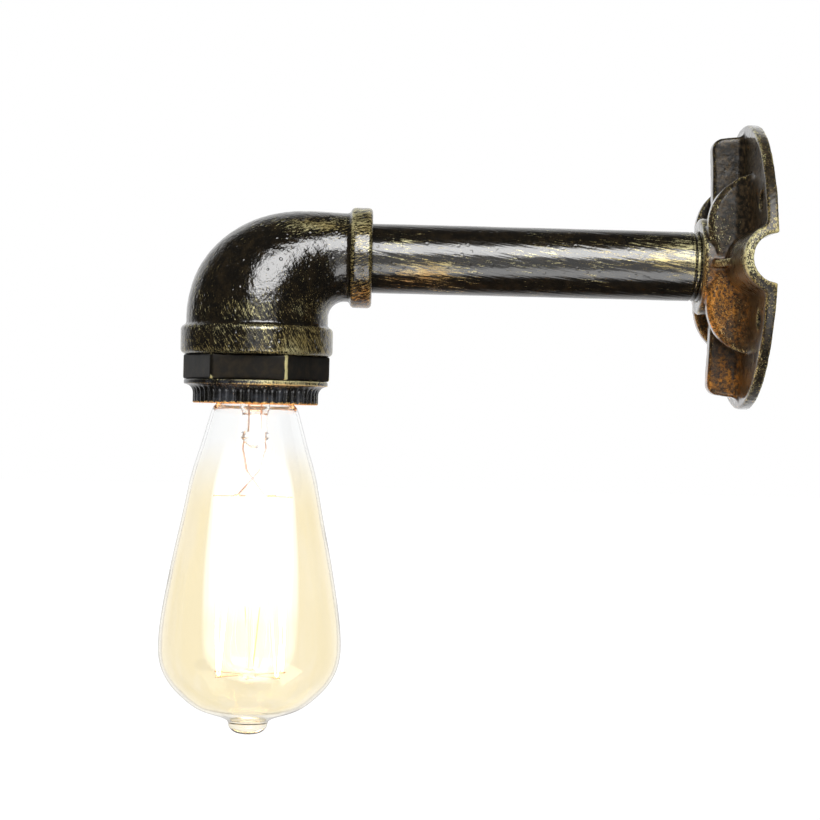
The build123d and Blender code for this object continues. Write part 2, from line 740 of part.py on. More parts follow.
def bulb_stem():
    """Glass stem: a flare in the neck, a tube, a pressed end and a rod with two buttons for the hooks."""
    flare = neck_radius - glass_wall - thread_fit
    top = -neck_top_depth
    rim = top - stem_rim
    flare_end = rim - stem_flare
    inner = stem_radius - stem_wall
    press = -stem_end_depth
    bead = stem_radius + press_swell
    bead_foot = press - press_height
    below = [(stem_radius, flare_end), (stem_radius, press), (bead, press - press_swell), (bead, bead_foot),
             (rod_radius, bead_foot - press_taper)]
    for depth in (cage_top_depth + filament_bend, cage_bottom_depth - filament_bend):
        below += [(rod_radius, -depth + button_half + button_taper), (button_radius, -depth + button_half),
                  (button_radius, -depth - button_half), (rod_radius, -depth - button_half - button_taper)]
    below += [(rod_radius, -rod_end_depth), (0, -rod_end_depth), (0, press), (inner, press),
              (inner, flare_end + stem_rim)]
    outline = [Line((flare - stem_wall, top), (flare, top)), Line((flare, top), (flare, rim)),
               RadiusArc((flare, rim), (stem_radius, flare_end), -stem_flare_arc), Polyline(*below),
               RadiusArc((inner, flare_end + stem_rim), (flare - stem_wall, top), stem_flare_arc)]
    stem = turned(outline)
    for side in (1, -1):
        stem -= swept(lead_path(side), lead_radius + seat_fit)
    return bulb_seat * stem


def bulb_leads():
    return solids([bulb_seat * swept(lead_path(side), lead_radius) for side in (1, -1)])


def cage_angle(index):
    """Angle round the cage of one end of a filament run, counted from +X."""
    return radians(180 - cage_arc / 2 + index * cage_arc / cage_runs)


def filament():
    """One unbroken wire up and down round the cage, bent round the hooks."""
    chord = 2 * cage_radius * sin(radians(cage_arc / cage_runs / 2))
    half_angle = atan(chord / (cage_bottom_depth - cage_top_depth))
    overshoot = filament_bend / sin(half_angle) - filament_bend
    points = []
    for index in range(cage_runs + 1):
        depth = cage_bottom_depth + overshoot if index % 2 else cage_top_depth - overshoot
        if index in (0, cage_runs):
            depth = cage_top_depth
        angle = cage_angle(index)
        points.append((cage_radius * cos(angle), cage_radius * sin(angle), -depth))
    path = FilletPolyline(*points, radius=filament_bend)
    print("filament length", round(path.length, 1))
    return bulb_seat * swept(path, filament_radius)


def filament_hooks():
    """Support wires from the stem's buttons out through the bends of the filament."""
    hooks = []
    for index in range(1, cage_runs):
        depth = cage_bottom_depth - filament_bend if index % 2 else cage_top_depth + filament_bend
        hook = rod(hook_radius, button_radius, cage_radius + hook_overhang)
        turn = Rot(0, 0, degrees(cage_angle(index))) * Rot(0, 90, 0)
        hooks.append(bulb_seat * Pos(0, 0, -depth) * turn * hook)
    return solids(hooks)


# ---------------------------------------------------------------- all the pieces
pieces = [wall_plate, arm_pipe, pipe_bushes, elbow, lampholder_housing, fluted_ring, insert_body, screw_shell,
          centre_contact, neutral_contact, live_post, neutral_post, earth_post, post_screws, earth_strap,
          strap_screws, terminal_block, block_clamps, block_screws, wire_live, wire_neutral, wire_earth,
          bulb_glass, bulb_cap, cap_insulator, cap_contact, bulb_stem, bulb_leads, filament_hooks, filament]

os.makedirs("parts", exist_ok=True)
for piece in pieces:
    save(piece(), piece.__name__)
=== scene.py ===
# %% [markdown]
# # An industrial pipe wall light
#
# This lesson dresses a wall light made of pipe fittings: a cast wall plate, a pipe arm, a reducing
# elbow, a hexagonal lampholder with a fluted ring and a pear-shaped filament bulb. The engineering
# model comes packed, and gives every piece its true place and size. Blender adds what the eye enjoys:
# rough casting, black-brown gloss paint with gold brushed over it, clear glass and a glowing filament.
# All lengths below are in metres unless a comment says millimetres, and the light hangs on the wall
# plane y = 0, reaching out along -Y.

from math import acos, atan2, cos, exp, hypot, pi, radians, sin

import bmesh
import bpy
from mathutils import Matrix, Vector, noise


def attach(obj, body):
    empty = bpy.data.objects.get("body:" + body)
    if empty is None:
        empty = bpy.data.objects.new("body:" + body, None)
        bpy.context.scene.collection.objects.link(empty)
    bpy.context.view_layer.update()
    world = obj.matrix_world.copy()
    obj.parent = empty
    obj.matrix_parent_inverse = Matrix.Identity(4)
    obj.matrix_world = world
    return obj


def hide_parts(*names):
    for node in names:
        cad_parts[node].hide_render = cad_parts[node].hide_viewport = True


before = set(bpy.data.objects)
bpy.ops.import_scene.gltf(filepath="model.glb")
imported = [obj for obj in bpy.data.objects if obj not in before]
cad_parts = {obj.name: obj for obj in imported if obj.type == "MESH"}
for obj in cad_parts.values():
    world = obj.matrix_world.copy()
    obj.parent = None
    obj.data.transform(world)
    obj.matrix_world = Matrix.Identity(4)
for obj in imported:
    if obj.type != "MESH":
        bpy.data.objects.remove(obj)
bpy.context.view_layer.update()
scene = bpy.context.scene
MM = 0.001
print("nodes:", len(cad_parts))

# %% [markdown]
# ## The camera
#
# The photograph was taken from the light's side with a long lens, almost level with the bulb's
# shoulder. A camera can be placed by eye, or worked out from things of known size: the bulb is 64 mm
# wide, and the plate is round, so its outline gives the distance and the direction. The second way was
# used, and gives a small turn and a small roll.

# %% Camera
IMAGE_WIDTH = 820
CAMERA_PLACE = Vector((0.7011, -0.1347, -0.0530))
CAMERA_YAW = radians(1.29)
CAMERA_PITCH = radians(0.0)
CAMERA_ROLL = radians(1.38)
FOCAL_PIXELS = 1991.7
SENSOR_WIDTH = 36.0


def camera_axes(yaw, pitch, roll):
    """Right, up and backward directions of a camera that looks along -X, turned, tilted and rolled."""
    forward = Vector((-cos(yaw) * cos(pitch), sin(yaw) * cos(pitch), sin(pitch)))
    level_right = Vector((sin(yaw), cos(yaw), 0))
    level_up = level_right.cross(forward)
    right = level_right * cos(roll) + level_up * sin(roll)
    up = level_up * cos(roll) - level_right * sin(roll)
    return right, up, -forward


lens = bpy.data.cameras.new("photo_camera")
lens.sensor_width = SENSOR_WIDTH
lens.lens = FOCAL_PIXELS / IMAGE_WIDTH * SENSOR_WIDTH
lens.clip_start = 0.01
camera = bpy.data.objects.new("photo_camera", lens)
right, up, back = camera_axes(CAMERA_YAW, CAMERA_PITCH, CAMERA_ROLL)
camera.matrix_world = Matrix.Translation(CAMERA_PLACE) @ Matrix((right, up, back)).transposed().to_4x4()
scene.collection.objects.link(camera)
scene.camera = camera
scene.view_settings.view_transform = "Standard"
print("lens", round(lens.lens, 1), "mm")

# %% [markdown]
# ## Small node helpers
#
# Shader graphs are easier to read when one line makes a node and wires it up. These two helpers do
# that: `add` makes a node and fills its inputs with numbers or with sockets of other nodes, and `maths`
# does sums on sockets.

# %% Node helpers


def add(tree, kind, inputs=None, **options):
    """New node in a tree. The inputs, by name or number, take plain values or other nodes' sockets."""
    made = tree.nodes.new(kind)
    for option, value in options.items():
        setattr(made, option, value)
    for key, value in (inputs or {}).items():
        if isinstance(value, bpy.types.NodeSocket):
            tree.links.new(value, made.inputs[key])
        else:
            made.inputs[key].default_value = value
    return made


def maths(tree, operation, *values):
    """Socket with the result of one sum on numbers or sockets."""
    return add(tree, "ShaderNodeMath", dict(enumerate(values)), operation=operation).outputs[0]


def new_material(name):
    """Empty node material, with its tree and its output node."""
    material = bpy.data.materials.new(name)
    material.use_nodes = True
    material.node_tree.nodes.clear()
    output = material.node_tree.nodes.new("ShaderNodeOutputMaterial")
    return material, material.node_tree, output


# %% [markdown]
# ## Floor, background and lamps
#
# The photograph is a studio picture with a white surround. The paint is glossy and nearly black, so
# what it reflects is most of what one sees, and the two long highlights on the pipe tell where the
# light came from: a high soft box from 15 to 50 degrees up, a weaker one below, and a dim gap between
# them where the camera stood. The pipe only shows how high a box reaches. The elbow turns, so the sides
# of its light patch show how wide the upper box was. A photographer would build that with panels. Here
# the world does it: rays that bounce off gloss see this studio, drawn from their direction with a few
# ramps, while every other ray sees an even level. The camera sees white, also through glass.

# %% Ramps, products and kinds of ray


def ramp(tree, value, low, high, start=0.0, end=1.0):
    """Socket of a value that goes smoothly from start to end while the input goes from low to high."""
    return add(tree, "ShaderNodeMapRange", {
        "Value": value, "From Min": low, "From Max": high, "To Min": start, "To Max": end},
        interpolation_type="SMOOTHSTEP").outputs[0]


def product(tree, *values):
    """Socket of several values multiplied."""
    total = values[0]
    for value in values[1:]:
        total = maths(tree, "MULTIPLY", total, value)
    return total


def ray_is(tree, *kinds):
    """Socket that is 1 for the named kinds of ray."""
    path = add(tree, "ShaderNodeLightPath")
    total = 0.0
    for kind in kinds:
        total = maths(tree, "MAXIMUM", total, path.outputs[kind])
    return total


# %% World
EVEN_LEVEL = 0.45
BACKDROP = 1.0
UNLIT = 0.03
BOX_EDGE = 0.05
BOX_SIDES = (-0.14, 0.44)
# each box by the heights between which it lies, as the Z of a direction, and its strength
UPPER_BOX = ((0.27, 0.74), 13.0)
DIM_GAP = ((-0.42, 0.27), 1.1)
LOWER_BOX = ((-0.78, -0.40), 4.6)


def between(tree, value, low, high):
    """Socket that is 1 between two values of a direction and falls off softly outside them."""
    return product(tree, ramp(tree, value, low - BOX_EDGE, low + BOX_EDGE),
                   ramp(tree, value, high - BOX_EDGE, high + BOX_EDGE, 1.0, 0.0))


world = bpy.data.worlds.new("studio")
scene.world = world
world.use_nodes = True
sky = world.node_tree
sky.nodes.clear()
way = add(sky, "ShaderNodeTexCoord").outputs["Generated"]
direction = add(sky, "ShaderNodeSeparateXYZ", {0: way}).outputs
box_side = product(sky, between(sky, direction["Y"], *BOX_SIDES), ramp(sky, direction["X"], -0.05, 0.25))
mirrored = maths(sky, "MAXIMUM", UNLIT, ramp(sky, direction["X"], -0.35, -0.80, 0.0, BACKDROP))
for heights, strength in (UPPER_BOX, DIM_GAP, LOWER_BOX):
    box = product(sky, box_side, between(sky, direction["Z"], *heights), strength)
    mirrored = maths(sky, "MAXIMUM", mirrored, box)
lit = add(sky, "ShaderNodeMix", {
    "Factor": ray_is(sky, "Is Glossy Ray"), "A": EVEN_LEVEL, "B": mirrored}, data_type="FLOAT").outputs[0]
seen = add(sky, "ShaderNodeMix", {
    "Factor": ray_is(sky, "Is Camera Ray", "Is Transmission Ray"), "A": lit, "B": 1.0},
    data_type="FLOAT").outputs[0]
surround = add(sky, "ShaderNodeBackground", {"Color": (1, 1, 1, 1), "Strength": seen})
add(sky, "ShaderNodeOutputWorld", {"Surface": surround.outputs[0]})
print("studio:", len(sky.nodes), "nodes")

# %% [markdown]
# Three soft panels give the diffuse light some direction. They are hidden from gloss, which already
# sees the soft boxes. The bulb is on in the photograph, and its orange light shows wherever gold paint
# faces down or towards it: under the ring and the pipe, and on the lower half of the plate. The
# filament's own glow is a very small light, so a hidden lamp inside the cage carries it further, and
# the same orange light is painted into the paint in those places as well.

# %% Lamps


def soft_panel(name, place, target, width, height, power):
    """Rectangular lamp at a place, turned towards a target and hidden from gloss."""
    lamp = bpy.data.lights.new(name, "AREA")
    lamp.shape = "RECTANGLE"
    lamp.size = width
    lamp.size_y = height
    lamp.energy = power
    holder = bpy.data.objects.new(name, lamp)
    holder.location = place
    holder.rotation_euler = (Vector(target) - Vector(place)).to_track_quat("-Z", "Y").to_euler()
    holder.visible_glossy = False
    scene.collection.objects.link(holder)


MIDDLE = (0.0, -0.11, -0.05)
soft_panel("upper_front", (0.75, -0.20, 0.62), MIDDLE, 1.1, 0.42, 7.0)
soft_panel("lower_front", (0.80, -0.05, -0.52), MIDDLE, 1.3, 0.30, 2.0)
soft_panel("top_left", (0.15, -0.85, 0.75), MIDDLE, 0.7, 0.5, 4.0)
print("panels:", len(bpy.data.lights))

# %% The bulb's own light
CAGE_CENTRE = (0, -0.1733, -0.112)
CAGE_WATTS = 0.22
CAGE_ORANGE = (1.0, 0.46, 0.14)
cage_light = bpy.data.lights.new("cage_light", "POINT")
cage_light.shadow_soft_size = 0.012
cage_light.energy = CAGE_WATTS
cage_light.color = CAGE_ORANGE
cage_lamp = bpy.data.objects.new("cage_light", cage_light)
cage_lamp.location = CAGE_CENTRE
cage_lamp.visible_camera = False
cage_lamp.visible_transmission = False
scene.collection.objects.link(cage_lamp)
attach(cage_lamp, "bulb")
print("light in the cage:", CAGE_WATTS, "W")

# %% [markdown]
# The floor is plain and pale and keeps the light's shadow. Its own glow, which only the camera sees,
# grows with the distance, so that it melts into the white surround. Gloss doesn't see the floor at all,
# because the lower box of the studio would stand in its place.

# %% Floor
FLOOR_HEIGHT = -0.32
FLOOR_SIZE = 12.0
MELT_FROM = 0.3
MELT_TO = 1.6
NEAR_WHITE = 0.40
FAR_WHITE = 0.76
floor_paint, tree, output = new_material("white_floor")
floor_place = add(tree, "ShaderNodeTexCoord").outputs["Object"]
away = add(tree, "ShaderNodeVectorMath", {0: floor_place}, operation="LENGTH").outputs["Value"]
own_white = ramp(tree, away, MELT_FROM, MELT_TO, NEAR_WHITE, FAR_WHITE)
matt = add(tree, "ShaderNodeBsdfPrincipled", {
    "Base Color": (0.86, 0.86, 0.86, 1), "Roughness": 0.9, "Specular IOR Level": 0.0})
glow = product(tree, ray_is(tree, "Is Camera Ray", "Is Transmission Ray"), own_white)
melt = add(tree, "ShaderNodeEmission", {"Color": (1, 1, 1, 1), "Strength": glow})
both = add(tree, "ShaderNodeAddShader", {0: matt.outputs[0], 1: melt.outputs[0]})
open_floor = tree.nodes.new("ShaderNodeBsdfTransparent")
unseen = add(tree, "ShaderNodeMixShader", {
    0: ray_is(tree, "Is Glossy Ray"), 1: both.outputs[0], 2: open_floor.outputs[0]})
tree.links.new(unseen.outputs[0], output.inputs["Surface"])
bpy.ops.mesh.primitive_plane_add(size=FLOOR_SIZE, location=(0, 0, FLOOR_HEIGHT))
floor = bpy.context.object
floor.name = "floor"
floor.data.materials.append(floor_paint)
print("floor at", FLOOR_HEIGHT, "m")

# %% [markdown]
# ## Effects that several finishes share
#
# All the metal of this light has one finish: black-brown gloss paint, over which gold was dragged with
# a nearly dry brush, so that it caught on edges and bumps in streaks. A painter of textures would draw
# that by hand. Here noise is stretched along the brush's way, and a threshold keeps only its peaks. The
# pieces carry three values of their own for this: `stroke`, a place in a space whose third axis runs
# along the brush's way, `edge`, how convex the surface is, and a third, how much of the bulb's orange
# light is painted into the paint and its gold there.

# %% A builder for node groups


def new_group(name, inputs, outputs):
    """Shader node group. Inputs are (name, socket type, default) and outputs are (name, socket type)."""
    group = bpy.data.node_groups.new(name, "ShaderNodeTree")
    for label, kind, default in inputs:
        socket = group.interface.new_socket(name=label, in_out="INPUT", socket_type="NodeSocket" + kind)
        socket.default_value = default
    for label, kind in outputs:
        group.interface.new_socket(name=label, in_out="OUTPUT", socket_type="NodeSocket" + kind)
    return group, group.nodes.new("NodeGroupInput").outputs, group.nodes.new("NodeGroupOutput").inputs


def place_group(tree, group, inputs):
    """Outputs of a group's node in a material, with its inputs filled."""
    return add(tree, "ShaderNodeGroup", inputs, node_tree=group).outputs


# %% Noise and colour helpers
# the Mix node has a set of sockets for each kind of data, and these are the ones for colours
FIRST_COLOUR, SECOND_COLOUR, MIXED_COLOUR = 6, 7, 2


def noise_of(tree, vector, scale, detail=3.0, roughness=0.55, distortion=0.0):
    """Socket of a noise texture's value."""
    return add(tree, "ShaderNodeTexNoise", {"Vector": vector, "Scale": scale, "Detail": detail,
                                            "Roughness": roughness, "Distortion": distortion}).outputs[0]


def blend_colours(tree, factor, first, second):
    """Socket of a colour between two others."""
    mix = add(tree, "ShaderNodeMix", {"Factor": factor, FIRST_COLOUR: first, SECOND_COLOUR: second},
              data_type="RGBA")
    return mix.outputs[MIXED_COLOUR]


def stretched(tree, vector, factors):
    """Socket of a vector multiplied part by part, which draws a pattern out along one axis."""
    return add(tree, "ShaderNodeVectorMath", {0: vector, 1: factors}, operation="MULTIPLY").outputs[0]


# %% Dry brush
# two layers of streaks, each by its share in the paint, its turn, and its scale across and along
STREAKS = ((0.5, 1.0, 1.0, 1.0), (0.32, -0.7, 1.8, 1.6))
SPECK_SHARE = 0.18


def build_dry_brush():
    """Group that says where a dry brush left paint: streaks broken up by patches, edges and specks."""
    group, given, result = new_group("dry_brush", [
        ("Stroke", "Vector", (0, 0, 0)), ("Edge", "Float", 0.0), ("Across", "Float", 900.0),
        ("Along", "Float", 60.0), ("Twist", "Float", 0.0), ("Patch Scale", "Float", 28.0),
        ("Coverage", "Float", 0.5), ("Patchiness", "Float", 0.9), ("Edge Gain", "Float", 0.5),
        ("Softness", "Float", 0.10)], [("Mask", "Float"), ("Tone", "Float"), ("Height", "Float")])
    along = add(group, "ShaderNodeSeparateXYZ", {0: given["Stroke"]}).outputs["Z"]
    drive = product(group, noise_of(group, given["Stroke"], 2600.0, 2.0, 0.6), SPECK_SHARE)
    spaces = []
    for share, turn, width, length in STREAKS:
        angle = product(group, along, given["Twist"], turn)
        turned_space = add(group, "ShaderNodeVectorRotate", {"Vector": given["Stroke"], "Angle": angle},
                           rotation_type="Z_AXIS").outputs[0]
        across = product(group, given["Across"], width)
        stretch = add(group, "ShaderNodeCombineXYZ", {
            "X": across, "Y": across, "Z": product(group, given["Along"], length)}).outputs[0]
        spaces.append(stretched(group, turned_space, stretch))
        streaks = noise_of(group, spaces[-1], 1.0, 5.0, 0.62, 0.25)
        drive = maths(group, "MULTIPLY_ADD", streaks, share, drive)
    patch = noise_of(group, given["Stroke"], given["Patch Scale"], 3.0, 0.5)
    lift = maths(group, "MULTIPLY", maths(group, "SUBTRACT", patch, 0.5), given["Patchiness"])
    lift = maths(group, "MULTIPLY_ADD", given["Edge"], given["Edge Gain"], lift)
    threshold = maths(group, "SUBTRACT", maths(group, "SUBTRACT", 1.0, given["Coverage"]), lift)
    over = maths(group, "DIVIDE", maths(group, "SUBTRACT", drive, threshold), given["Softness"])
    mask = ramp(group, over, 0.0, 1.0)
    group.links.new(mask, result["Mask"])
    group.links.new(ramp(group, noise_of(group, given["Stroke"], 55.0, 2.0), 0.40, 0.62), result["Tone"])
    # the relief has no fine detail, which would only blur the gloss
    group.links.new(noise_of(group, spaces[0], 0.6, 1.0), result["Height"])
    return group


dry_brush = build_dry_brush()
print("dry brush:", len(dry_brush.nodes), "nodes")

# %% Cast skin


def build_cast_skin():
    """Group with the relief that paint keeps from a sand casting: orange peel, grains and a few pits."""
    group, given, result = new_group("cast_skin", [
        ("Vector", "Vector", (0, 0, 0)), ("Lump Scale", "Float", 300.0), ("Grain Scale", "Float", 1400.0),
        ("Lumps", "Float", 0.6), ("Grains", "Float", 0.3), ("Pits", "Float", 0.3)], [("Height", "Float")])
    lumps = noise_of(group, given["Vector"], given["Lump Scale"], 2.0, 0.5, 0.4)
    grains = noise_of(group, given["Vector"], given["Grain Scale"], 2.0, 0.55)
    cells = add(group, "ShaderNodeTexVoronoi", {"Vector": given["Vector"], "Scale": maths(
        group, "MULTIPLY", given["Grain Scale"], 0.36)}).outputs
    chance = add(group, "ShaderNodeSeparateColor", {0: cells["Color"]}).outputs[0]
    chosen = ramp(group, chance, 0.45, 0.55)
    pits = product(group, ramp(group, cells["Distance"], 0.10, 0.32, -1.0, 0.0), chosen)
    height = maths(group, "MULTIPLY", lumps, given["Lumps"])
    height = maths(group, "MULTIPLY_ADD", grains, given["Grains"], height)
    height = maths(group, "MULTIPLY_ADD", pits, given["Pits"], height)
    group.links.new(height, result["Height"])
    return group


cast_skin = build_cast_skin()
print("cast skin:", len(cast_skin.nodes), "nodes")

# %% [markdown]
# ## The brushed gloss paint
#
# One builder makes the finish for every metal piece, and each piece gets its own numbers: how much
# gold, how long and how slanted the strokes are, and how rough the casting is. Under the gold lies
# nearly black paint with a brown cast. The gold is metal flake, so it is metallic and a little rougher,
# and a clear gloss coat lies over both.

# %% Paint builder
BLACK_PAINT = (0.0060, 0.0050, 0.0036, 1)
BROWN_PAINT = (0.016, 0.0115, 0.0060, 1)
PLATE_BROWN = (0.050, 0.034, 0.017, 1)
# blue-grey painted sheen for the ring, standing in for the reflection on its flutes
RING_PAINTED_SHEEN = (0.040, 0.043, 0.050, 1)
# orange painted light from the bulb, mixed into the paint where the bulb's light falls
PAINTED_BULB_LIGHT_COLOUR = (0.64, 0.25, 0.032, 1)
PALE_GOLD = (0.60, 0.55, 0.29, 1)
DEEP_GOLD = (0.33, 0.26, 0.10, 1)
# the gold flake's colour in the painted bulb light
GOLD_IN_PAINTED_BULB_LIGHT = (0.62, 0.30, 0.07, 1)
GOLD_ROUGHER = 0.28
GOLD_METAL = 0.5
# how metallic the painted bulb light leaves the paint
METAL_IN_PAINTED_BULB_LIGHT = 0.4
COAT_ROUGHNESS = 0.08
GRAZING_SLANTS = (0.55, 0.80)


def brushed_paint(name, brush, skin, relief, roughness=0.13, gloss_coat=0.25, shine=0.5, painted_bulb_light_strength=0.0,
                  brown=BROWN_PAINT, tone_and_sheen_scale=300.0, brush_relief=0.25, grazing_coat=0.0):
    """Black-brown gloss paint with gold brushed over it. The relief is the bump's depth in metres, and
    brush_relief is how much of it follows the strokes. painted_bulb_light_strength says how far the paint
    under the gold turns orange, as painted light from the bulb, where the piece's mark says so. A
    grazing_coat adds gloss only where one looks along the surface."""
    material, tree, output = new_material(name)
    stroke = add(tree, "ShaderNodeAttribute", attribute_name="stroke").outputs["Vector"]
    edge = add(tree, "ShaderNodeAttribute", attribute_name="edge").outputs["Fac"]
    painted_bulb_light = add(tree, "ShaderNodeAttribute", attribute_name="painted_bulb_light").outputs["Fac"]
    place = add(tree, "ShaderNodeTexCoord").outputs["Object"]
    gold = place_group(tree, dry_brush, dict(brush, Stroke=stroke, Edge=edge))
    cast = place_group(tree, cast_skin, dict(skin, Vector=place))
    # patches of a second tone: a brown cast on most pieces, and on the ring a painted blue-grey sheen
    tone_and_sheen_mask = ramp(tree, noise_of(tree, place, tone_and_sheen_scale, 5.0, 0.65), 0.42, 0.66)
    mottle = product(tree, ramp(tree, noise_of(tree, place, 1000.0, 6.0, 0.75), 0.42, 0.62, 0.03, 1.0),
                     ramp(tree, noise_of(tree, place, 210.0, 2.0), 0.38, 0.60, 0.3, 1.0))
    # painted light from the bulb: orange specks in the paint and its gold where a piece's mark says so
    painted_bulb_light_part = product(tree, painted_bulb_light, mottle, painted_bulb_light_strength)
    base = blend_colours(tree, painted_bulb_light_part, blend_colours(tree, tone_and_sheen_mask, BLACK_PAINT, brown), PAINTED_BULB_LIGHT_COLOUR)
    plain_gold = blend_colours(tree, gold["Tone"], DEEP_GOLD, PALE_GOLD)
    flake = blend_colours(tree, painted_bulb_light, plain_gold, GOLD_IN_PAINTED_BULB_LIGHT)
    colour = blend_colours(tree, gold["Mask"], base, flake)
    height = maths(tree, "MULTIPLY_ADD", gold["Height"], brush_relief, cast["Height"])
    bump = add(tree, "ShaderNodeBump", {"Height": height, "Distance": relief, "Strength": 1.0})
    gloss = maths(tree, "MULTIPLY_ADD", gold["Mask"], GOLD_ROUGHER, roughness)
    metal = maths(tree, "MAXIMUM", product(tree, gold["Mask"], GOLD_METAL),
                  product(tree, painted_bulb_light_part, METAL_IN_PAINTED_BULB_LIGHT))
    slant = add(tree, "ShaderNodeLayerWeight", {"Blend": 0.5}).outputs["Facing"]
    coat = maths(tree, "ADD", ramp(tree, slant, *GRAZING_SLANTS, 0.0, grazing_coat), gloss_coat)
    shader = add(tree, "ShaderNodeBsdfPrincipled", {
        "Base Color": colour, "Roughness": gloss, "Metallic": metal, "Normal": bump.outputs[0],
        "Coat Weight": coat, "Coat Roughness": COAT_ROUGHNESS, "Specular IOR Level": shine})
    tree.links.new(shader.outputs[0], output.inputs["Surface"])
    return material


# %% The paints
cast_paint = brushed_paint(
    "cast_paint",
    {"Across": 1900.0, "Along": 420.0, "Twist": 24.0, "Coverage": 0.455, "Patchiness": 0.36,
     "Edge Gain": 0.40, "Softness": 0.11},
    {"Lump Scale": 430.0, "Grain Scale": 1150.0, "Lumps": 0.8, "Grains": 0.55, "Pits": 0.9},
    relief=0.00017)
plate_paint = brushed_paint(
    "plate_paint",
    {"Across": 1500.0, "Along": 1200.0, "Coverage": 0.42, "Patchiness": 0.25,
     "Edge Gain": 0.22, "Softness": 0.07},
    {"Lump Scale": 400.0, "Grain Scale": 1200.0, "Lumps": 0.5, "Grains": 0.4, "Pits": 0.3},
    relief=0.00010, roughness=0.34, gloss_coat=0.03, shine=0.3, painted_bulb_light_strength=1.0, brown=PLATE_BROWN,
    tone_and_sheen_scale=700.0, grazing_coat=0.97)
pipe_paint = brushed_paint(
    "pipe_paint",
    {"Across": 1700.0, "Along": 150.0, "Twist": 14.0, "Coverage": 0.455, "Patchiness": 0.42,
     "Edge Gain": 0.3, "Softness": 0.12},
    {"Lump Scale": 420.0, "Grain Scale": 1150.0, "Lumps": 0.35, "Grains": 0.28, "Pits": 0.5},
    relief=0.00012, roughness=0.17, brush_relief=1.0)
hex_paint = brushed_paint(
    "hex_paint",
    {"Across": 1800.0, "Along": 300.0, "Coverage": 0.30, "Patchiness": 0.25,
     "Edge Gain": 0.60, "Softness": 0.12},
    {"Lump Scale": 300.0, "Grain Scale": 1600.0, "Lumps": 0.15, "Grains": 0.15, "Pits": 0.1},
    relief=0.00010, roughness=0.42, gloss_coat=0.0, shine=0.16)
# the ring's second tone is a painted blue-grey sheen
ring_paint = brushed_paint(
    "ring_paint",
    {"Across": 1900.0, "Along": 900.0, "Coverage": 0.34, "Patchiness": 0.3,
     "Edge Gain": 0.60, "Softness": 0.12},
    {"Lump Scale": 400.0, "Grain Scale": 1600.0, "Lumps": 0.3, "Grains": 0.25, "Pits": 0.15},
    relief=0.00010, roughness=0.26, gloss_coat=0.1, brown=RING_PAINTED_SHEEN, tone_and_sheen_scale=120.0)
print("brushed paints:", [item.name for item in bpy.data.materials if item.name.endswith("_paint")])

# %% [markdown]
# ## Making skins
#
# Most pieces of this light were turned or bored, so their skins come from one outline that goes round
# an axis. A modeller would use a Screw modifier, but here the rings of points are made in code, because
# flutes, flats and a real helical thread are then one small function of height and angle.

# %% Mesh helpers


def mesh_piece(name, points, faces, smooth=True):
    """New object from points and faces, with doubled points merged and its faces turned outwards."""
    mesh = bpy.data.meshes.new(name)
    mesh.from_pydata([tuple(point) for point in points], [], faces)
    work = bmesh.new()
    work.from_mesh(mesh)
    bmesh.ops.remove_doubles(work, verts=work.verts, dist=1e-7)
    bmesh.ops.recalc_face_normals(work, faces=work.faces)
    work.to_mesh(mesh)
    work.free()
    mesh.polygons.foreach_set("use_smooth", [smooth] * len(mesh.polygons))
    piece = bpy.data.objects.new(name, mesh)
    scene.collection.objects.link(piece)
    return piece


def turned_skin(name, outline, segments, shape=None, place=(0, 0, 0)):
    """Skin of revolution about a vertical axis. The outline is a closed loop of (radius, height) in
    millimetres, and shape(radius, height, angle) may give each point another radius."""
    points, faces = [], []
    for radius, height in outline:
        for step in range(segments):
            angle = 2 * pi * step / segments
            here = shape(radius, height, angle) if shape else radius
            points.append(Vector((here * cos(angle), here * sin(angle), height)) * MM + Vector(place))
    for ring in range(len(outline)):
        above = (ring + 1) % len(outline)
        for step in range(segments):
            beside = (step + 1) % segments
            faces.append([ring * segments + step, ring * segments + beside,
                          above * segments + beside, above * segments + step])
    faces = [face for face in faces if len({tuple(points[index]) for index in face}) > 2]
    return mesh_piece(name, points, faces)


def rounded(corners, steps=4):
    """Outline with rounded corners from (x, y, radius) entries, as a closed loop of (x, y)."""
    outline = []
    count = len(corners)
    for index, (x, y, radius) in enumerate(corners):
        here = Vector((x, y))
        if radius == 0:
            outline.append(tuple(here))
            continue
        before = (Vector(corners[index - 1][:2]) - here).normalized()
        after = (Vector(corners[(index + 1) % count][:2]) - here).normalized()
        half = acos(max(-1.0, min(1.0, before.dot(after)))) / 2
        reach = radius * cos(half) / sin(half)
        start, end = here + before * reach, here + after * reach
        centre = here + (before + after).normalized() * (radius / sin(half))
        for step in range(steps + 1):
            ray = (start - centre).lerp(end - centre, step / steps).normalized() * radius
            outline.append(tuple(centre + ray))
    return outline


def dense(outline, longest):
    """The same closed outline with extra points, so that no stretch is longer than a length."""
    result = []
    for (x, y), (next_x, next_y) in zip(outline, outline[1:] + outline[:1]):
        pieces = max(1, int(hypot(next_x - x, next_y - y) / longest + 0.999))
        for step in range(pieces):
            part = step / pieces
            result.append((x + (next_x - x) * part, y + (next_y - y) * part))
    return result


# %% Marks that the paint reads


def mark_strokes(piece, place):
    """Stores the brush's space: place(point in metres) gives the point with the brush's way as its Z."""
    layer = piece.data.attributes.new("stroke", "FLOAT_VECTOR", "POINT")
    for index, vertex in enumerate(piece.data.vertices):
        layer.data[index].vector = place(vertex.co)


def pressed(point, spots):
    """How hard the brush was pressed at a point. Each spot is (place, reach in each direction, strength),
    with its lengths in millimetres."""
    total = 0.0
    for place, reach, strength in spots:
        away = sum(((a / MM - b) / c) ** 2 for a, b, c in zip(point, place, reach))
        total += strength * exp(-away)
    return total


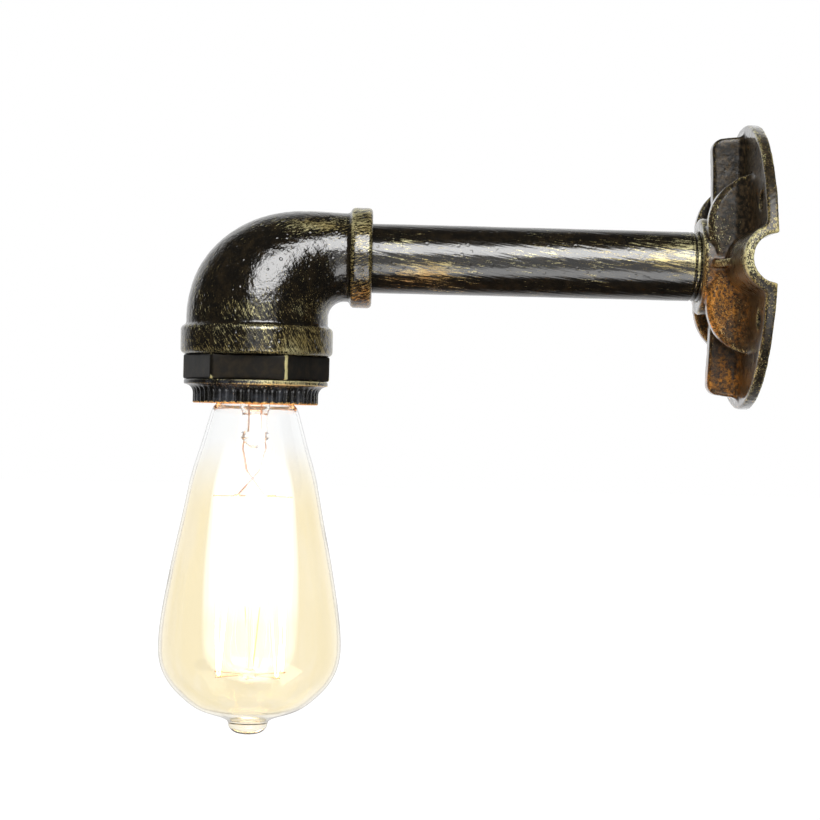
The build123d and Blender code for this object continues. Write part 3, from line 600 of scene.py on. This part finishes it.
def mark_edges(piece, spots=(), gain=2.2, passes=3):
    """Stores how convex the skin is at each point, and more where the brush was pressed, as `edge`."""
    work = bmesh.new()
    work.from_mesh(piece.data)
    work.normal_update()
    links = [[edge.other_vert(vertex).index for edge in vertex.link_edges] for vertex in work.verts]
    bend = []
    for vertex in work.verts:
        total = 0.0
        for edge in vertex.link_edges:
            away = edge.other_vert(vertex).co - vertex.co
            total -= away.normalized().dot(vertex.normal)
        bend.append(total / max(1, len(vertex.link_edges)))
    work.free()
    for step in range(passes):
        bend = [0.5 * value + 0.5 * sum(bend[other] for other in near) / max(1, len(near))
                for value, near in zip(bend, links)]
    layer = piece.data.attributes.new("edge", "FLOAT", "POINT")
    marks = [max(-1.0, min(1.0, value * gain)) + pressed(vertex.co, spots)
             for value, vertex in zip(bend, piece.data.vertices)]
    layer.data.foreach_set("value", marks)
    print(piece.name, "sharpest edge", round(max(bend), 3))


def mark_painted_bulb_light(piece, spots):
    """Stores where orange light from the bulb is painted on the piece, for the paint to read."""
    layer = piece.data.attributes.new("painted_bulb_light", "FLOAT", "POINT")
    shares = [min(1.0, pressed(vertex.co, spots)) for vertex in piece.data.vertices]
    layer.data.foreach_set("value", shares)


def dress(piece, body, material, slot, *replaced):
    """Puts the finish on a piece, hangs it on its body and hides the CAD nodes that it stands for."""
    piece.data.materials.clear()
    piece.data.materials.append(material)
    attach(piece, body)
    if replaced:
        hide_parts(*replaced)
    return piece


# %% [markdown]
# ## Rough casting
#
# The wall plate and the elbow are sand castings. Their engineering solids have the right shape but
# crisp edges and perfect faces. Sculpting would give a one-off; instead the solid is wrapped in an even
# skin of small squares (a voxel remesh), its edges are melted a little, and every point is pushed along
# its normal by three sizes of noise: wide swells from the mould and small bumps from the sand.

# %% Casting helpers


def solid_copy(node, name):
    """Copy of a CAD node's mesh as an object of its own, with its doubled points merged."""
    piece = bpy.data.objects.new(name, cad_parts[node].data.copy())
    scene.collection.objects.link(piece)
    work = bmesh.new()
    work.from_mesh(piece.data)
    bmesh.ops.remove_doubles(work, verts=work.verts, dist=1e-6)
    work.to_mesh(piece.data)
    work.free()
    return piece


def wrap(piece, square, melt):
    """Even skin of small squares round a piece, smoothed a number of times."""
    remesh = piece.modifiers.new("wrap", "REMESH")
    remesh.mode = "VOXEL"
    remesh.voxel_size = square
    smooth = piece.modifiers.new("melt", "SMOOTH")
    smooth.factor = 0.5
    smooth.iterations = melt
    ready = piece.evaluated_get(bpy.context.evaluated_depsgraph_get())
    skin = bpy.data.meshes.new_from_object(ready)
    piece.modifiers.clear()
    piece.data = skin
    skin.polygons.foreach_set("use_smooth", [True] * len(skin.polygons))
    return piece


def roughen(piece, layers):
    """Moves every point along its normal by noise. Each layer is (size, depth) in millimetres."""
    normals = [vertex.normal.copy() for vertex in piece.data.vertices]
    for vertex, normal in zip(piece.data.vertices, normals):
        push = sum(depth * noise.noise(vertex.co / (size * MM)) for size, depth in layers)
        vertex.co += normal * push * MM
    piece.data.update()
    return piece


def sand_cast(node, square=0.00045, melt=6, layers=((9.0, 0.14), (2.6, 0.06), (1.3, 0.04))):
    """Cast skin for a CAD node."""
    piece = roughen(wrap(solid_copy(node, node + "_cast"), square, melt), layers)
    print(piece.name, len(piece.data.vertices), "points")
    return piece


# %% [markdown]
# ## The wall plate
#
# One casting: a round plate, a hub, petal-shaped webs, ribs and the half-round tunnel for the cable.
# Gold shows along the petals' bevels and on the plate's rim, and orange light from the bulb is painted on
# the lower parts.
# The brush went roughly up and down, so the stroke space is the plate's own space.

# %% Wall plate
# painted orange light from the bulb on the lower petals and the lower rib
PLATE_PAINTED_BULB_LIGHT = [((side * 16, -13, -15), (7, 7, 11), 1.2) for side in (1, -1)]
PLATE_PAINTED_BULB_LIGHT.append(((0, -11, -40), (10, 8, 9), 1.0))
# more gold lies round the mouths of the tunnel and on the lower petal
PLATE_TOUCHES = [((0, 0, 0), (60, 2.0, 13), 0.4), ((16, -11, -16), (6, 7, 12), 0.25)]
plate = sand_cast("wall_plate")
mark_strokes(plate, lambda point: point)
mark_edges(plate, PLATE_TOUCHES, gain=5.0, passes=9)
mark_painted_bulb_light(plate, PLATE_PAINTED_BULB_LIGHT)
dress(plate, "wall_base", plate_paint, "cast_plate", "wall_plate")

# %% [markdown]
# ## The elbow
#
# The elbow swells from the pipe to the wide collar while it turns down. The brush followed it round the
# bend, so the stroke space is unrolled: its third axis is the way along the elbow, first out of the
# wall, then round the corner's centre, then down.

# %% Elbow
LAMP_REACH = 173.3
CORNER_REACH = 143.2
CORNER_DROP = 20.9
BEND_RADIUS = 26.0
SWELL = 1.75


def along_elbow(point):
    """A point of the elbow, unrolled so that Z runs along the bend."""
    reach, height = -point.y / MM, point.z / MM
    if reach < CORNER_REACH:
        return Vector((point.x / MM, height, reach)) * MM
    if height < -CORNER_DROP:
        way = CORNER_REACH + BEND_RADIUS * pi / 2 - CORNER_DROP - height
        return Vector((point.x / MM, reach - LAMP_REACH, way)) * MM
    angle = atan2(reach - CORNER_REACH, height + CORNER_DROP)
    middle = CORNER_DROP + (LAMP_REACH - CORNER_REACH - CORNER_DROP) * sin(angle) ** SWELL
    out = hypot(reach - CORNER_REACH, height + CORNER_DROP) - middle
    return Vector((point.x / MM, out, CORNER_REACH + BEND_RADIUS * angle)) * MM


# the brush was pressed harder on both collars, on top of the bend and beside the wide collar
ELBOW_TOUCHES = [((0, -137.3, 0), (40, 3.4, 40), 0.19), ((0, -173.3, -30), (60, 60, 4.6), 0.15),
                 ((13, -152, 10), (12, 13, 3.0), 0.34), ((22, -176, -20), (8, 12, 4), 0.19)]
elbow = sand_cast("elbow")
mark_strokes(elbow, along_elbow)
mark_edges(elbow, ELBOW_TOUCHES)
# painted orange light from the bulb under the narrow collar
mark_painted_bulb_light(elbow, [((8, -137, -14), (14, 5, 5), 0.6)])
dress(elbow, "arm", cast_paint, "cast_elbow", "elbow")

# %% [markdown]
# ## The pipe arm
#
# Plain steel pipe with a thread at each end. Two turns of thread are left in view in front of the hub.
# On the engineering model they are rings; here the thread is a true helix, made by letting the radius
# depend on height and angle together. The brush ran along the pipe, so the streaks are long.

# %% Pipe arm
PIPE_RADIUS = 12.2
PIPE_BORE = 9.8
PIPE_START = 9.3
PIPE_END = 143.5
THREAD_PITCH = 1.8
THREAD_DEPTH = 0.55
THREAD_FLANK = 0.35      # share of the pitch on each side of the groove
THREAD_RUN_OUT = 0.8
THREAD_STOP = 22.2
FAR_THREAD = PIPE_END - 9.5
THREAD_ROW = 0.15        # from one row of points to the next in a thread
PLAIN_ROW = 1.0          # and between the threads


def pipe_shape(radius, height, angle):
    """Cuts the helical threads into the outside of the pipe."""
    if radius < PIPE_BORE + 0.5:
        return radius
    depth = 0.0
    if height < THREAD_STOP or height > FAR_THREAD:
        turn = (height / THREAD_PITCH + angle / (2 * pi)) % 1.0
        depth = THREAD_DEPTH * max(0.0, 1 - abs(turn - 0.5) / THREAD_FLANK)
        fade = (THREAD_STOP - height) if height < THREAD_STOP else (height - FAR_THREAD)
        depth *= min(1.0, fade / THREAD_RUN_OUT)
    return radius - depth


def pipe_outline():
    """Rows close together in the threads and wide apart along the plain pipe."""
    heights = []
    height = PIPE_START
    while height < PIPE_END:
        heights.append(height)
        threaded = height < THREAD_STOP or height > FAR_THREAD
        height += THREAD_ROW if threaded else PLAIN_ROW
    heights.append(PIPE_END)
    outside = [(PIPE_RADIUS, height) for height in heights]
    return outside + [(PIPE_BORE, PIPE_END), (PIPE_BORE, PIPE_START)]


# the brush was pressed harder near both ends and in the middle, and kept off most of the top
PIPE_TOUCHES = [((12, -112, -4), (10, 15, 4.0), 0.42), ((12, -30, 1), (10, 13, 5.0), 0.40),
                ((11, -120, 5), (8, 12, 3), 0.12), ((12, -62, 3), (9, 18, 3), 0.12),
                ((6, -75, 12), (12, 80, 5), -0.28)]
pipe = turned_skin("pipe_arm", pipe_outline(), 120, pipe_shape)
pipe.data.transform(Matrix.Rotation(radians(90), 4, "X"))
roughen(pipe, ((16.0, 0.05), (5.0, 0.04)))
mark_strokes(pipe, lambda point: Vector((point.x, point.z, point.y)))
mark_edges(pipe, PIPE_TOUCHES)
# painted orange light from the bulb on the pipe's underside near the elbow
mark_painted_bulb_light(pipe, [((9, -118, -8), (12, 14, 4), 0.6)])
dress(pipe, "arm", pipe_paint, "pipe_paint", "arm_pipe")

# %% [markdown]
# ## The lampholder housing
#
# A hexagon between two round spigots. The flats are nearly plain black, and only the corners and the
# chamfers were touched by the brush. The hexagon's radius at any angle is half its width over the
# cosine of the angle from the middle of the nearest flat, held back a little at the corners to round
# them.

# %% Lampholder housing
HEX_FLATS = 45.0
HEX_TOP = -35.2
HEX_MIDDLE = -39.5
HEX_BOTTOM = -43.9
HEX_TURN = radians(26.5)
HEX_CORNER = 25.75
SPIGOT_RADIUS = 20.0
HOUSING_BORE = 18.1
SPIGOT_TOP = -21.2
SPIGOT_END = -50.2
LAMP_PLACE = (0, -LAMP_REACH * MM, 0)


def hex_shape(radius, height, angle):
    """Pulls the outside of the middle stretch in to the six flats."""
    if radius < SPIGOT_RADIUS + 0.5:
        return radius
    from_flat = (angle - HEX_TURN) % (pi / 3) - pi / 6
    flat = HEX_FLATS / 2 / cos(from_flat)
    return min(flat, HEX_CORNER) - (HEX_CORNER - radius)


hex_outline = rounded([(HOUSING_BORE, SPIGOT_END, 0), (SPIGOT_RADIUS, SPIGOT_END, 0.3),
                       (SPIGOT_RADIUS, HEX_BOTTOM, 0), (HEX_CORNER, HEX_BOTTOM, 0.7),
                       (HEX_CORNER, HEX_TOP, 0.7), (SPIGOT_RADIUS, HEX_TOP, 0),
                       (SPIGOT_RADIUS, SPIGOT_TOP, 0.3), (HOUSING_BORE, SPIGOT_TOP, 0)])
housing = turned_skin("hex_housing", dense(hex_outline, 1.0), 360, hex_shape, LAMP_PLACE)
roughen(housing, ((7.0, 0.05),))
mark_strokes(housing, lambda point: point - Vector(LAMP_PLACE))
# the brush caught every other corner along its whole height, and only the foot of the ones between
HEX_TOUCHES = []
for side in range(6):
    angle = HEX_TURN + side * pi / 3
    corner = (HEX_CORNER * cos(angle), HEX_CORNER * sin(angle) - LAMP_REACH)
    centre, height = (HEX_MIDDLE, 4.6) if side % 2 == 0 else (HEX_BOTTOM, 1.0)
    HEX_TOUCHES.append(((*corner, centre), (0.55, 0.55, height), 0.75))
mark_edges(housing, HEX_TOUCHES)
dress(housing, "arm", hex_paint, "hex_paint", "lampholder_housing")

# %% [markdown]
# ## The fluted ring
#
# The ring screws up under the hexagon. Below its lip it sweeps in and then drops straight, with fine
# upright flutes to grip. The flutes are a rounded wave in the radius that fades out into the sweep.

# %% Fluted ring
RING_TOP = -44.0
RING_BOTTOM = -52.2
LIP_RADIUS = 25.2
LIP_BOTTOM = -45.6
SWEEP = 3.2
RING_RADIUS = 22.0
RING_MOUTH = 17.3
RING_FLOOR = -50.8
RING_BORE = SPIGOT_RADIUS + 0.08
FLUTES = 48
FLUTE_DEPTH = 0.95
FLUTE_RUN_OUT = 2.2
RIDGE_FULLNESS = 0.6     # under 1, the ridges are broader than the grooves between them


def ring_shape(radius, height, angle):
    """Cuts the flutes into the outside of the ring below its lip."""
    if radius < SPIGOT_RADIUS + 1.0 or height > LIP_BOTTOM:
        return radius
    wave = abs(sin(angle * FLUTES / 2)) ** RIDGE_FULLNESS
    fade = min(1.0, (LIP_BOTTOM - height) / FLUTE_RUN_OUT)
    return radius - FLUTE_DEPTH * (1 - wave) * fade


sweep_arc = [(LIP_RADIUS - SWEEP * sin(radians(step)), LIP_BOTTOM - SWEEP * (1 - cos(radians(step))))
             for step in range(0, 91, 10)]
ring_corners = [(RING_BORE, RING_TOP, 0), (LIP_RADIUS, RING_TOP, 0.5), (LIP_RADIUS, LIP_BOTTOM, 0.4)]
ring_corners += [(radius, height, 0) for radius, height in sweep_arc[1:]]
ring_corners += [(RING_RADIUS, RING_BOTTOM, 0.5), (RING_MOUTH, RING_BOTTOM, 0.3),
                 (RING_MOUTH, RING_FLOOR, 0.2), (RING_BORE, RING_FLOOR, 0)]
ring = turned_skin("grip_ring", dense(rounded(ring_corners), 0.5), 480, ring_shape, LAMP_PLACE)
mark_strokes(ring, lambda point: point - Vector(LAMP_PLACE))
# gold on the lip and on the foot, all round and more on the side that the brush met first
RING_TOUCHES = [((0, -LAMP_REACH, RING_TOP - 1.2), (60, 60, 1.6), 0.12),
                ((22, -LAMP_REACH + 8, RING_TOP - 1.2), (14, 12, 1.6), 0.22),
                ((0, -LAMP_REACH, RING_BOTTOM), (60, 60, 0.6), 0.25),
                ((22, -LAMP_REACH, RING_BOTTOM), (14, 15, 0.6), 0.4)]
mark_edges(ring, RING_TOUCHES)
# painted orange light from the bulb on the ring's foot and under its lip
mark_painted_bulb_light(ring, [((0, -LAMP_REACH, RING_BOTTOM), (60, 60, 1.2), 0.9),
                   ((0, -LAMP_REACH, RING_TOP - 2.4), (60, 60, 1.4), 0.35)])
dress(ring, "shade_ring", ring_paint, "ring_paint", "fluted_ring")

# %% [markdown]
# ## The bulb's envelope
#
# A pear-shaped glass bulb with the pinched-off exhaust tip at the bottom. Real glass has two faces, so
# the skin is an outer and an inner outline a millimetre apart. Where its wall is seen end on, clear
# glass shows a thin grey edge, but in a surround as white as this one it needs help, so Layer Weight
# paints a dark shade into the glass's colour there. Such bulbs are sprayed amber from the shoulder down,
# which leaves the neck clear. The tint is therefore mixed by height, and in faint upright runs. Towards
# the outline the picture is paler, and Layer Weight paints that in too, as a painted reflection of the
# white surround. In so bright a picture the glass hardly darkens what lies behind it, so a faint glow on
# its front makes up for the light that its four faces lose, and a stronger one stands for the flare round
# the burning filament.

# %% Envelope outline
GLASS_WALL = 1.0
TIP_FLOOR = -162.5
CURVE_STEPS = 6
ENVELOPE = [(12.4, -47.4), (12.4, -50.6), (13.5, -52.2), (15.0, -54.0), (16.3, -58.2), (18.6, -66.4),
            (22.0, -78.0), (24.9, -92.5), (28.2, -108.5), (31.1, -125.5), (32.05, -136.0), (31.5, -142.8),
            (29.3, -148.4), (25.2, -153.6), (18.6, -158.9), (10.2, -162.0), (7.3, -163.6), (6.7, -165.6),
            (5.0, -167.3), (2.6, -168.0), (0.0, -168.2)]


def smooth_through(points, steps):
    """Points on a smooth curve through the given points (Catmull-Rom)."""
    curve = []
    padded = [points[0]] + points + [points[-1]]
    for before, start, end, after in zip(padded, padded[1:], padded[2:], padded[3:]):
        for step in range(steps):
            t = step / steps
            curve.append(tuple(0.5 * (2 * b + (c - a) * t + (2 * a - 5 * b + 4 * c - d) * t ** 2
                                      + (3 * b - a - 3 * c + d) * t ** 3)
                               for a, b, c, d in zip(before, start, end, after)))
    return curve + [points[-1]]


def moved_in(curve, depth):
    """The same curve moved inwards, square to itself."""
    inner = []
    for index, (radius, height) in enumerate(curve):
        before = Vector(curve[max(0, index - 1)])
        after = Vector(curve[min(len(curve) - 1, index + 1)])
        way = (after - before).normalized()
        inner.append((max(0.0, radius + way.y * depth), height - way.x * depth))
    return inner


outside = smooth_through(ENVELOPE, CURVE_STEPS)
inside = [point for point in moved_in(outside, GLASS_WALL) if point[1] > TIP_FLOOR]
inside.append((0.0, inside[-1][1]))
envelope = turned_skin("glass_envelope", outside + inside[::-1], 128, place=LAMP_PLACE)
print("envelope", len(envelope.data.vertices), "points")

# %% Amber glass
CLEAR_GLASS = (0.985, 0.99, 0.99, 1)
# the spray where it runs thin, and the painted reflection towards the outline
PALE_AMBER = (0.975, 0.936, 0.83, 1)
FULL_AMBER = (0.965, 0.912, 0.755, 1)
# painted shade where the glass wall is seen end on
GLASS_PAINTED_EDGE_SHADE = (0.02, 0.02, 0.02, 1)
NO_GLOW = (0, 0, 0, 1)
SPRAY_TOP = -62 * MM
SPRAY_END = -90 * MM
CLEAR_GLOW = (0.020, 0.020, 0.020, 1)
WALL_GLOW = (0.034, 0.022, 0.006, 1)
CAGE_GLOW = (0.24, 0.26, 0.32, 1)
LOW_CAGE_GLOW = (0.19, 0.20, 0.17, 1)
# the flare lies on the glass from the cage's foot to its head, and out to a certain slant of the glass
CAGE_FOOT = -152 * MM
CAGE_HEAD = -62 * MM
FLARE_SLANTS = (0.125, 0.225)
LOW_FLARE_FROM = -118 * MM
LOW_FLARE_TO = -128 * MM


def clear_to_light(tree, shader, output):
    """Lets the light of lamps and filament straight through a glass, which would stop it otherwise."""
    hole = tree.nodes.new("ShaderNodeBsdfTransparent")
    mixed = add(tree, "ShaderNodeMixShader", {0: ray_is(tree, "Is Shadow Ray"), 1: shader.outputs[0],
                                              2: hole.outputs[0]})
    tree.links.new(mixed.outputs[0], output.inputs["Surface"])


def painted_edge_shade(tree):
    """Socket that is 1 where a glass wall is seen end on, where its dark outline is painted in as shade."""
    return ramp(tree, add(tree, "ShaderNodeLayerWeight", {"Blend": 0.5}).outputs["Facing"], 0.79, 0.92)


# %% Where the amber and the flare lie


def sprayed_part(tree, place, height):
    """Socket that is 1 where the amber spray covers the glass, with an uneven start below the neck."""
    drift = maths(tree, "MULTIPLY_ADD", noise_of(tree, place, 40.0, 2.0), 0.012, height)
    return ramp(tree, drift, SPRAY_END + 0.006, SPRAY_TOP + 0.006, 1.0, 0.0)


def amber_of(tree, place):
    """Socket of the spray's colour: paler towards the outline, where a reflection of the white surround is
    painted in, and in faint upright runs.
    """
    slant = add(tree, "ShaderNodeLayerWeight", {"Blend": 0.35}).outputs["Facing"]
    drawn_out = stretched(tree, place, (1.0, 1.0, 0.07))
    runs = ramp(tree, noise_of(tree, drawn_out, 160.0, 2.0), 0.40, 0.60, -0.35, 0.35)
    # the slant paints a paler reflection towards the outline, and the runs are the spray's own
    paler = ramp(tree, maths(tree, "ADD", slant, runs), 0.0, 1.0)
    return blend_colours(tree, paler, FULL_AMBER, PALE_AMBER)


def flare_part(tree, height):
    """Socket that is 1 where one looks through the front of the glass at the burning cage."""
    slant = add(tree, "ShaderNodeLayerWeight", {"Blend": 0.5}).outputs["Facing"]
    cage_side = ramp(tree, height, CAGE_FOOT + 0.002, CAGE_HEAD - 0.018, *FLARE_SLANTS)
    over_cage = ramp(tree, maths(tree, "SUBTRACT", cage_side, slant), -0.015, 0.02)
    return product(tree, over_cage, ramp(tree, height, CAGE_FOOT, CAGE_FOOT + 0.008),
                   ramp(tree, height, CAGE_HEAD - 0.026, CAGE_HEAD, 1, 0))


# %% Amber glass material


def build_amber_glass():
    """Clear glass with the amber spray and with the flare in front of the filament."""
    material, tree, output = new_material("amber_glass")
    place = add(tree, "ShaderNodeTexCoord").outputs["Object"]
    height = add(tree, "ShaderNodeSeparateXYZ", {0: place}).outputs["Z"]
    sprayed = sprayed_part(tree, place, height)
    wall = blend_colours(tree, sprayed, CLEAR_GLASS, amber_of(tree, place))
    tint = blend_colours(tree, painted_edge_shade(tree), wall, GLASS_PAINTED_EDGE_SHADE)
    cage_glow = blend_colours(tree, ramp(tree, height, LOW_FLARE_FROM, LOW_FLARE_TO), CAGE_GLOW,
                              LOW_CAGE_GLOW)
    wall_glow = blend_colours(tree, sprayed, CLEAR_GLOW, WALL_GLOW)
    glow = blend_colours(tree, flare_part(tree, height), wall_glow, cage_glow)
    inner_face = add(tree, "ShaderNodeNewGeometry").outputs["Backfacing"]
    glow = blend_colours(tree, inner_face, glow, NO_GLOW)
    ripple = add(tree, "ShaderNodeBump", {
        "Height": noise_of(tree, place, 60.0, 1.0), "Distance": 0.0004, "Strength": 0.25})
    glass = add(tree, "ShaderNodeBsdfPrincipled", {
        "Base Color": tint, "Roughness": 0.0, "IOR": 1.45, "Transmission Weight": 1.0,
        "Emission Color": glow, "Emission Strength": 1.0, "Normal": ripple.outputs[0]})
    clear_to_light(tree, glass, output)
    return material


amber_glass = build_amber_glass()
dress(envelope, "bulb", amber_glass, "amber_glass", "bulb_glass")
print("amber glass:", len(amber_glass.node_tree.nodes), "nodes")

# %% [markdown]
# ## Stem, wires and filament
#
# The glass stem, its lead wires and the support hooks keep their engineering shapes and get clear glass
# and nickel wire. The filament glows: it is hottest in the middle of each run and cooler at the hooks,
# so its colour goes from yellow-white to orange with the height. In the lower half of the cage the
# picture keeps a few pale yellow lines apart from the white, so the glow is much weaker there.

# %% Stem glass
# painted shade where the stem's glass is seen end on
STEM_PAINTED_EDGE_SHADE = (0.30, 0.16, 0.08, 1)
STEM_SEEDS = (0.90, 0.86, 0.78, 1)
stem_glass, tree, output = new_material("stem_glass")
seeds = noise_of(tree, add(tree, "ShaderNodeTexCoord").outputs["Object"], 900.0, 1.0)
seeded = blend_colours(tree, ramp(tree, seeds, 0.62, 0.70), CLEAR_GLASS, STEM_SEEDS)
ripple = add(tree, "ShaderNodeBump", {"Height": seeds, "Distance": 0.0001, "Strength": 0.3})
clear = add(tree, "ShaderNodeBsdfPrincipled", {
    "Base Color": blend_colours(tree, painted_edge_shade(tree), seeded, STEM_PAINTED_EDGE_SHADE), "Roughness": 0.02,
    "IOR": 1.5, "Transmission Weight": 1.0, "Normal": ripple.outputs[0]})
clear_to_light(tree, clear, output)

# %% Filament
GLOW = 60.0
HOT = (1.0, 0.70, 0.34, 1)
WARM = (1.0, 0.36, 0.07, 1)
YELLOW_LINE = (0.012, 0.0095, 0.0, 1)
DARK_COIL = (0.10, 0.09, 0.08, 1)
BRIGHT_COIL = (0.25, 0.22, 0.19, 1)
LOW_GLOW_START = -110 * MM
LOW_GLOW_END = -126 * MM
LINES_HALF_WIDTH = 7 * MM
LINES_EDGE = 3 * MM
CAGE_MIDDLE = -116 * MM
CAGE_HALF = 32 * MM
glow_wire, tree, output = new_material("glow_wire")
place = add(tree, "ShaderNodeTexCoord").outputs["Object"]
parts = add(tree, "ShaderNodeSeparateXYZ", {0: place}).outputs
off_centre = maths(tree, "ABSOLUTE", maths(tree, "SUBTRACT", parts["Z"], CAGE_MIDDLE))
from_middle = maths(tree, "DIVIDE", off_centre, CAGE_HALF)
wave = add(tree, "ShaderNodeTexWave", {"Vector": place, "Scale": 900.0}, bands_direction="Z")
coils = wave.outputs["Fac"]
cooler = ramp(tree, maths(tree, "MULTIPLY_ADD", coils, 0.08, from_middle), 0.80, 1.05)
upper_glow = blend_colours(tree, cooler, HOT, WARM)
sideways = maths(tree, "ABSOLUTE", maths(tree, "ADD", parts["Y"], LAMP_REACH * MM))
low_down = product(tree, ramp(tree, parts["Z"], LOW_GLOW_START, LOW_GLOW_END),
                   ramp(tree, sideways, LINES_HALF_WIDTH, LINES_HALF_WIDTH + LINES_EDGE, 1, 0))
shader = add(tree, "ShaderNodeBsdfPrincipled", {
    "Base Color": blend_colours(tree, coils, DARK_COIL, BRIGHT_COIL), "Roughness": 0.45, "Metallic": 1.0,
    "Emission Color": blend_colours(tree, low_down, upper_glow, YELLOW_LINE), "Emission Strength": GLOW})
tree.links.new(shader.outputs[0], output.inputs["Surface"])
print("filament:", len(tree.nodes), "nodes")

# %% [markdown]
# ## Metals and mouldings that show only from below, from behind or in an open view
#
# The lampholder's insert is glazed steatite, its contacts are brass, the screws are nickel-plated, the
# terminal block and the bushes are moulded, and the wires are insulated in brown, blue and green with
# yellow. None of them is a single flat colour: brass has tarnish, plating has fine scratches, and
# mouldings have a faint orange peel.

# %% Builders for the inner finishes


def worn_metal(name, bright, dull, roughness, scratch=260.0):
    """Bare or plated metal with tarnish in patches and fine scratches."""
    material, tree, output = new_material(name)
    place = add(tree, "ShaderNodeTexCoord").outputs["Object"]
    patches = ramp(tree, noise_of(tree, place, 180.0, 4.0), 0.40, 0.66)
    scratches = noise_of(tree, stretched(tree, place, (9.0, 9.0, 1.0)), scratch, 4.0, 0.7)
    bump = add(tree, "ShaderNodeBump", {"Height": scratches, "Distance": 0.00005, "Strength": 0.6})
    shader = add(tree, "ShaderNodeBsdfPrincipled", {
        "Base Color": blend_colours(tree, patches, bright, dull), "Metallic": 1.0,
        "Roughness": maths(tree, "MULTIPLY_ADD", patches, 0.18, roughness), "Normal": bump.outputs[0]})
    tree.links.new(shader.outputs[0], output.inputs["Surface"])
    return material


def moulding(name, colour, shade, roughness, coat=0.0, grain=700.0, depth=0.00012):
    """Moulded or glazed material with a slight change of shade and an orange-peel skin."""
    material, tree, output = new_material(name)
    place = add(tree, "ShaderNodeTexCoord").outputs["Object"]
    clouds = ramp(tree, noise_of(tree, place, 90.0, 4.0), 0.35, 0.70)
    skin = place_group(tree, cast_skin, {
        "Vector": place, "Lump Scale": grain * 0.5, "Grain Scale": grain * 2.5, "Lumps": 0.5,
        "Grains": 0.25, "Pits": 0.1})
    bump = add(tree, "ShaderNodeBump", {"Height": skin["Height"], "Distance": depth, "Strength": 0.8})
    shader = add(tree, "ShaderNodeBsdfPrincipled", {
        "Base Color": blend_colours(tree, clouds, colour, shade), "Coat Weight": coat,
        "Coat Roughness": COAT_ROUGHNESS, "Roughness": maths(tree, "MULTIPLY_ADD", clouds, 0.08, roughness),
        "Normal": bump.outputs[0]})
    tree.links.new(shader.outputs[0], output.inputs["Surface"])
    return material


# %% Two-colour earth wire
EARTH_GREEN = (0.02, 0.22, 0.05, 1)
EARTH_YELLOW = (0.70, 0.55, 0.04, 1)
EARTH_WIRE_X = 6 * MM
STRIPE_HALF_WIDTH = 0.5 * MM
STRIPE_EDGE = 0.1 * MM
earth_cover, tree, output = new_material("wire_green_yellow")
place = add(tree, "ShaderNodeTexCoord").outputs["Object"]
sideways = add(tree, "ShaderNodeSeparateXYZ", {0: place}).outputs["X"]
off_centre = maths(tree, "ABSOLUTE", maths(tree, "SUBTRACT", sideways, EARTH_WIRE_X))
green_part = ramp(tree, off_centre, STRIPE_HALF_WIDTH, STRIPE_HALF_WIDTH + STRIPE_EDGE)
skin = noise_of(tree, place, 1200.0, 2.0)
bump = add(tree, "ShaderNodeBump", {"Height": skin, "Distance": 0.00005})
shader = add(tree, "ShaderNodeBsdfPrincipled", {
    "Base Color": blend_colours(tree, green_part, EARTH_YELLOW, EARTH_GREEN),
    "Roughness": maths(tree, "MULTIPLY_ADD", skin, 0.1, 0.38), "Normal": bump.outputs[0]})
tree.links.new(shader.outputs[0], output.inputs["Surface"])
print("earth wire:", len(tree.nodes), "nodes")

# %% Finish for every engineering piece that keeps its shape
brass = worn_metal("brass", (0.78, 0.52, 0.20, 1), (0.42, 0.25, 0.10, 1), 0.26)
nickel = worn_metal("plated_steel", (0.72, 0.70, 0.66, 1), (0.45, 0.43, 0.40, 1), 0.24)
cap_brass = worn_metal("cap_brass", (0.80, 0.62, 0.34, 1), (0.50, 0.36, 0.18, 1), 0.22)
solder = worn_metal("solder", (0.62, 0.62, 0.60, 1), (0.34, 0.34, 0.33, 1), 0.34)
lead_wire = worn_metal("lead_wire", (0.62, 0.40, 0.27, 1), (0.40, 0.24, 0.15, 1), 0.30, 900.0)
ceramic = moulding("ceramic", (0.74, 0.71, 0.64, 1), (0.60, 0.56, 0.48, 1), 0.30, coat=0.5)
black_glass = moulding("black_glass", (0.012, 0.011, 0.013, 1), (0.03, 0.028, 0.03, 1), 0.12, coat=0.3)
bush_black = moulding("bush_plastic", (0.02, 0.02, 0.021, 1), (0.04, 0.04, 0.042, 1), 0.42)
block_white = moulding("block_plastic", (0.62, 0.61, 0.57, 1), (0.50, 0.49, 0.45, 1), 0.40)
brown_cover = moulding("wire_brown", (0.12, 0.04, 0.015, 1), (0.08, 0.03, 0.012, 1), 0.36)
blue_cover = moulding("wire_blue", (0.02, 0.10, 0.40, 1), (0.015, 0.07, 0.30, 1), 0.36)
FINISHES = {
    ceramic: ["insert_body"], nickel: ["post_screws", "earth_strap", "strap_screws", "block_screws"],
    brass: ["screw_shell", "centre_contact", "neutral_contact", "live_post", "neutral_post", "earth_post",
            "block_clamps"],
    bush_black: ["pipe_bushes"], block_white: ["terminal_block"], brown_cover: ["wire_live"],
    blue_cover: ["wire_neutral"], earth_cover: ["wire_earth"], cap_brass: ["bulb_cap"],
    black_glass: ["cap_insulator"], solder: ["cap_contact"], stem_glass: ["bulb_stem"],
    lead_wire: ["bulb_leads", "filament_hooks"], glow_wire: ["filament"]}
for material, nodes in FINISHES.items():
    for node in nodes:
        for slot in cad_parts[node].material_slots:
            slot.material = material
print("finished", sum(len(nodes) for nodes in FINISHES.values()), "engineering pieces")
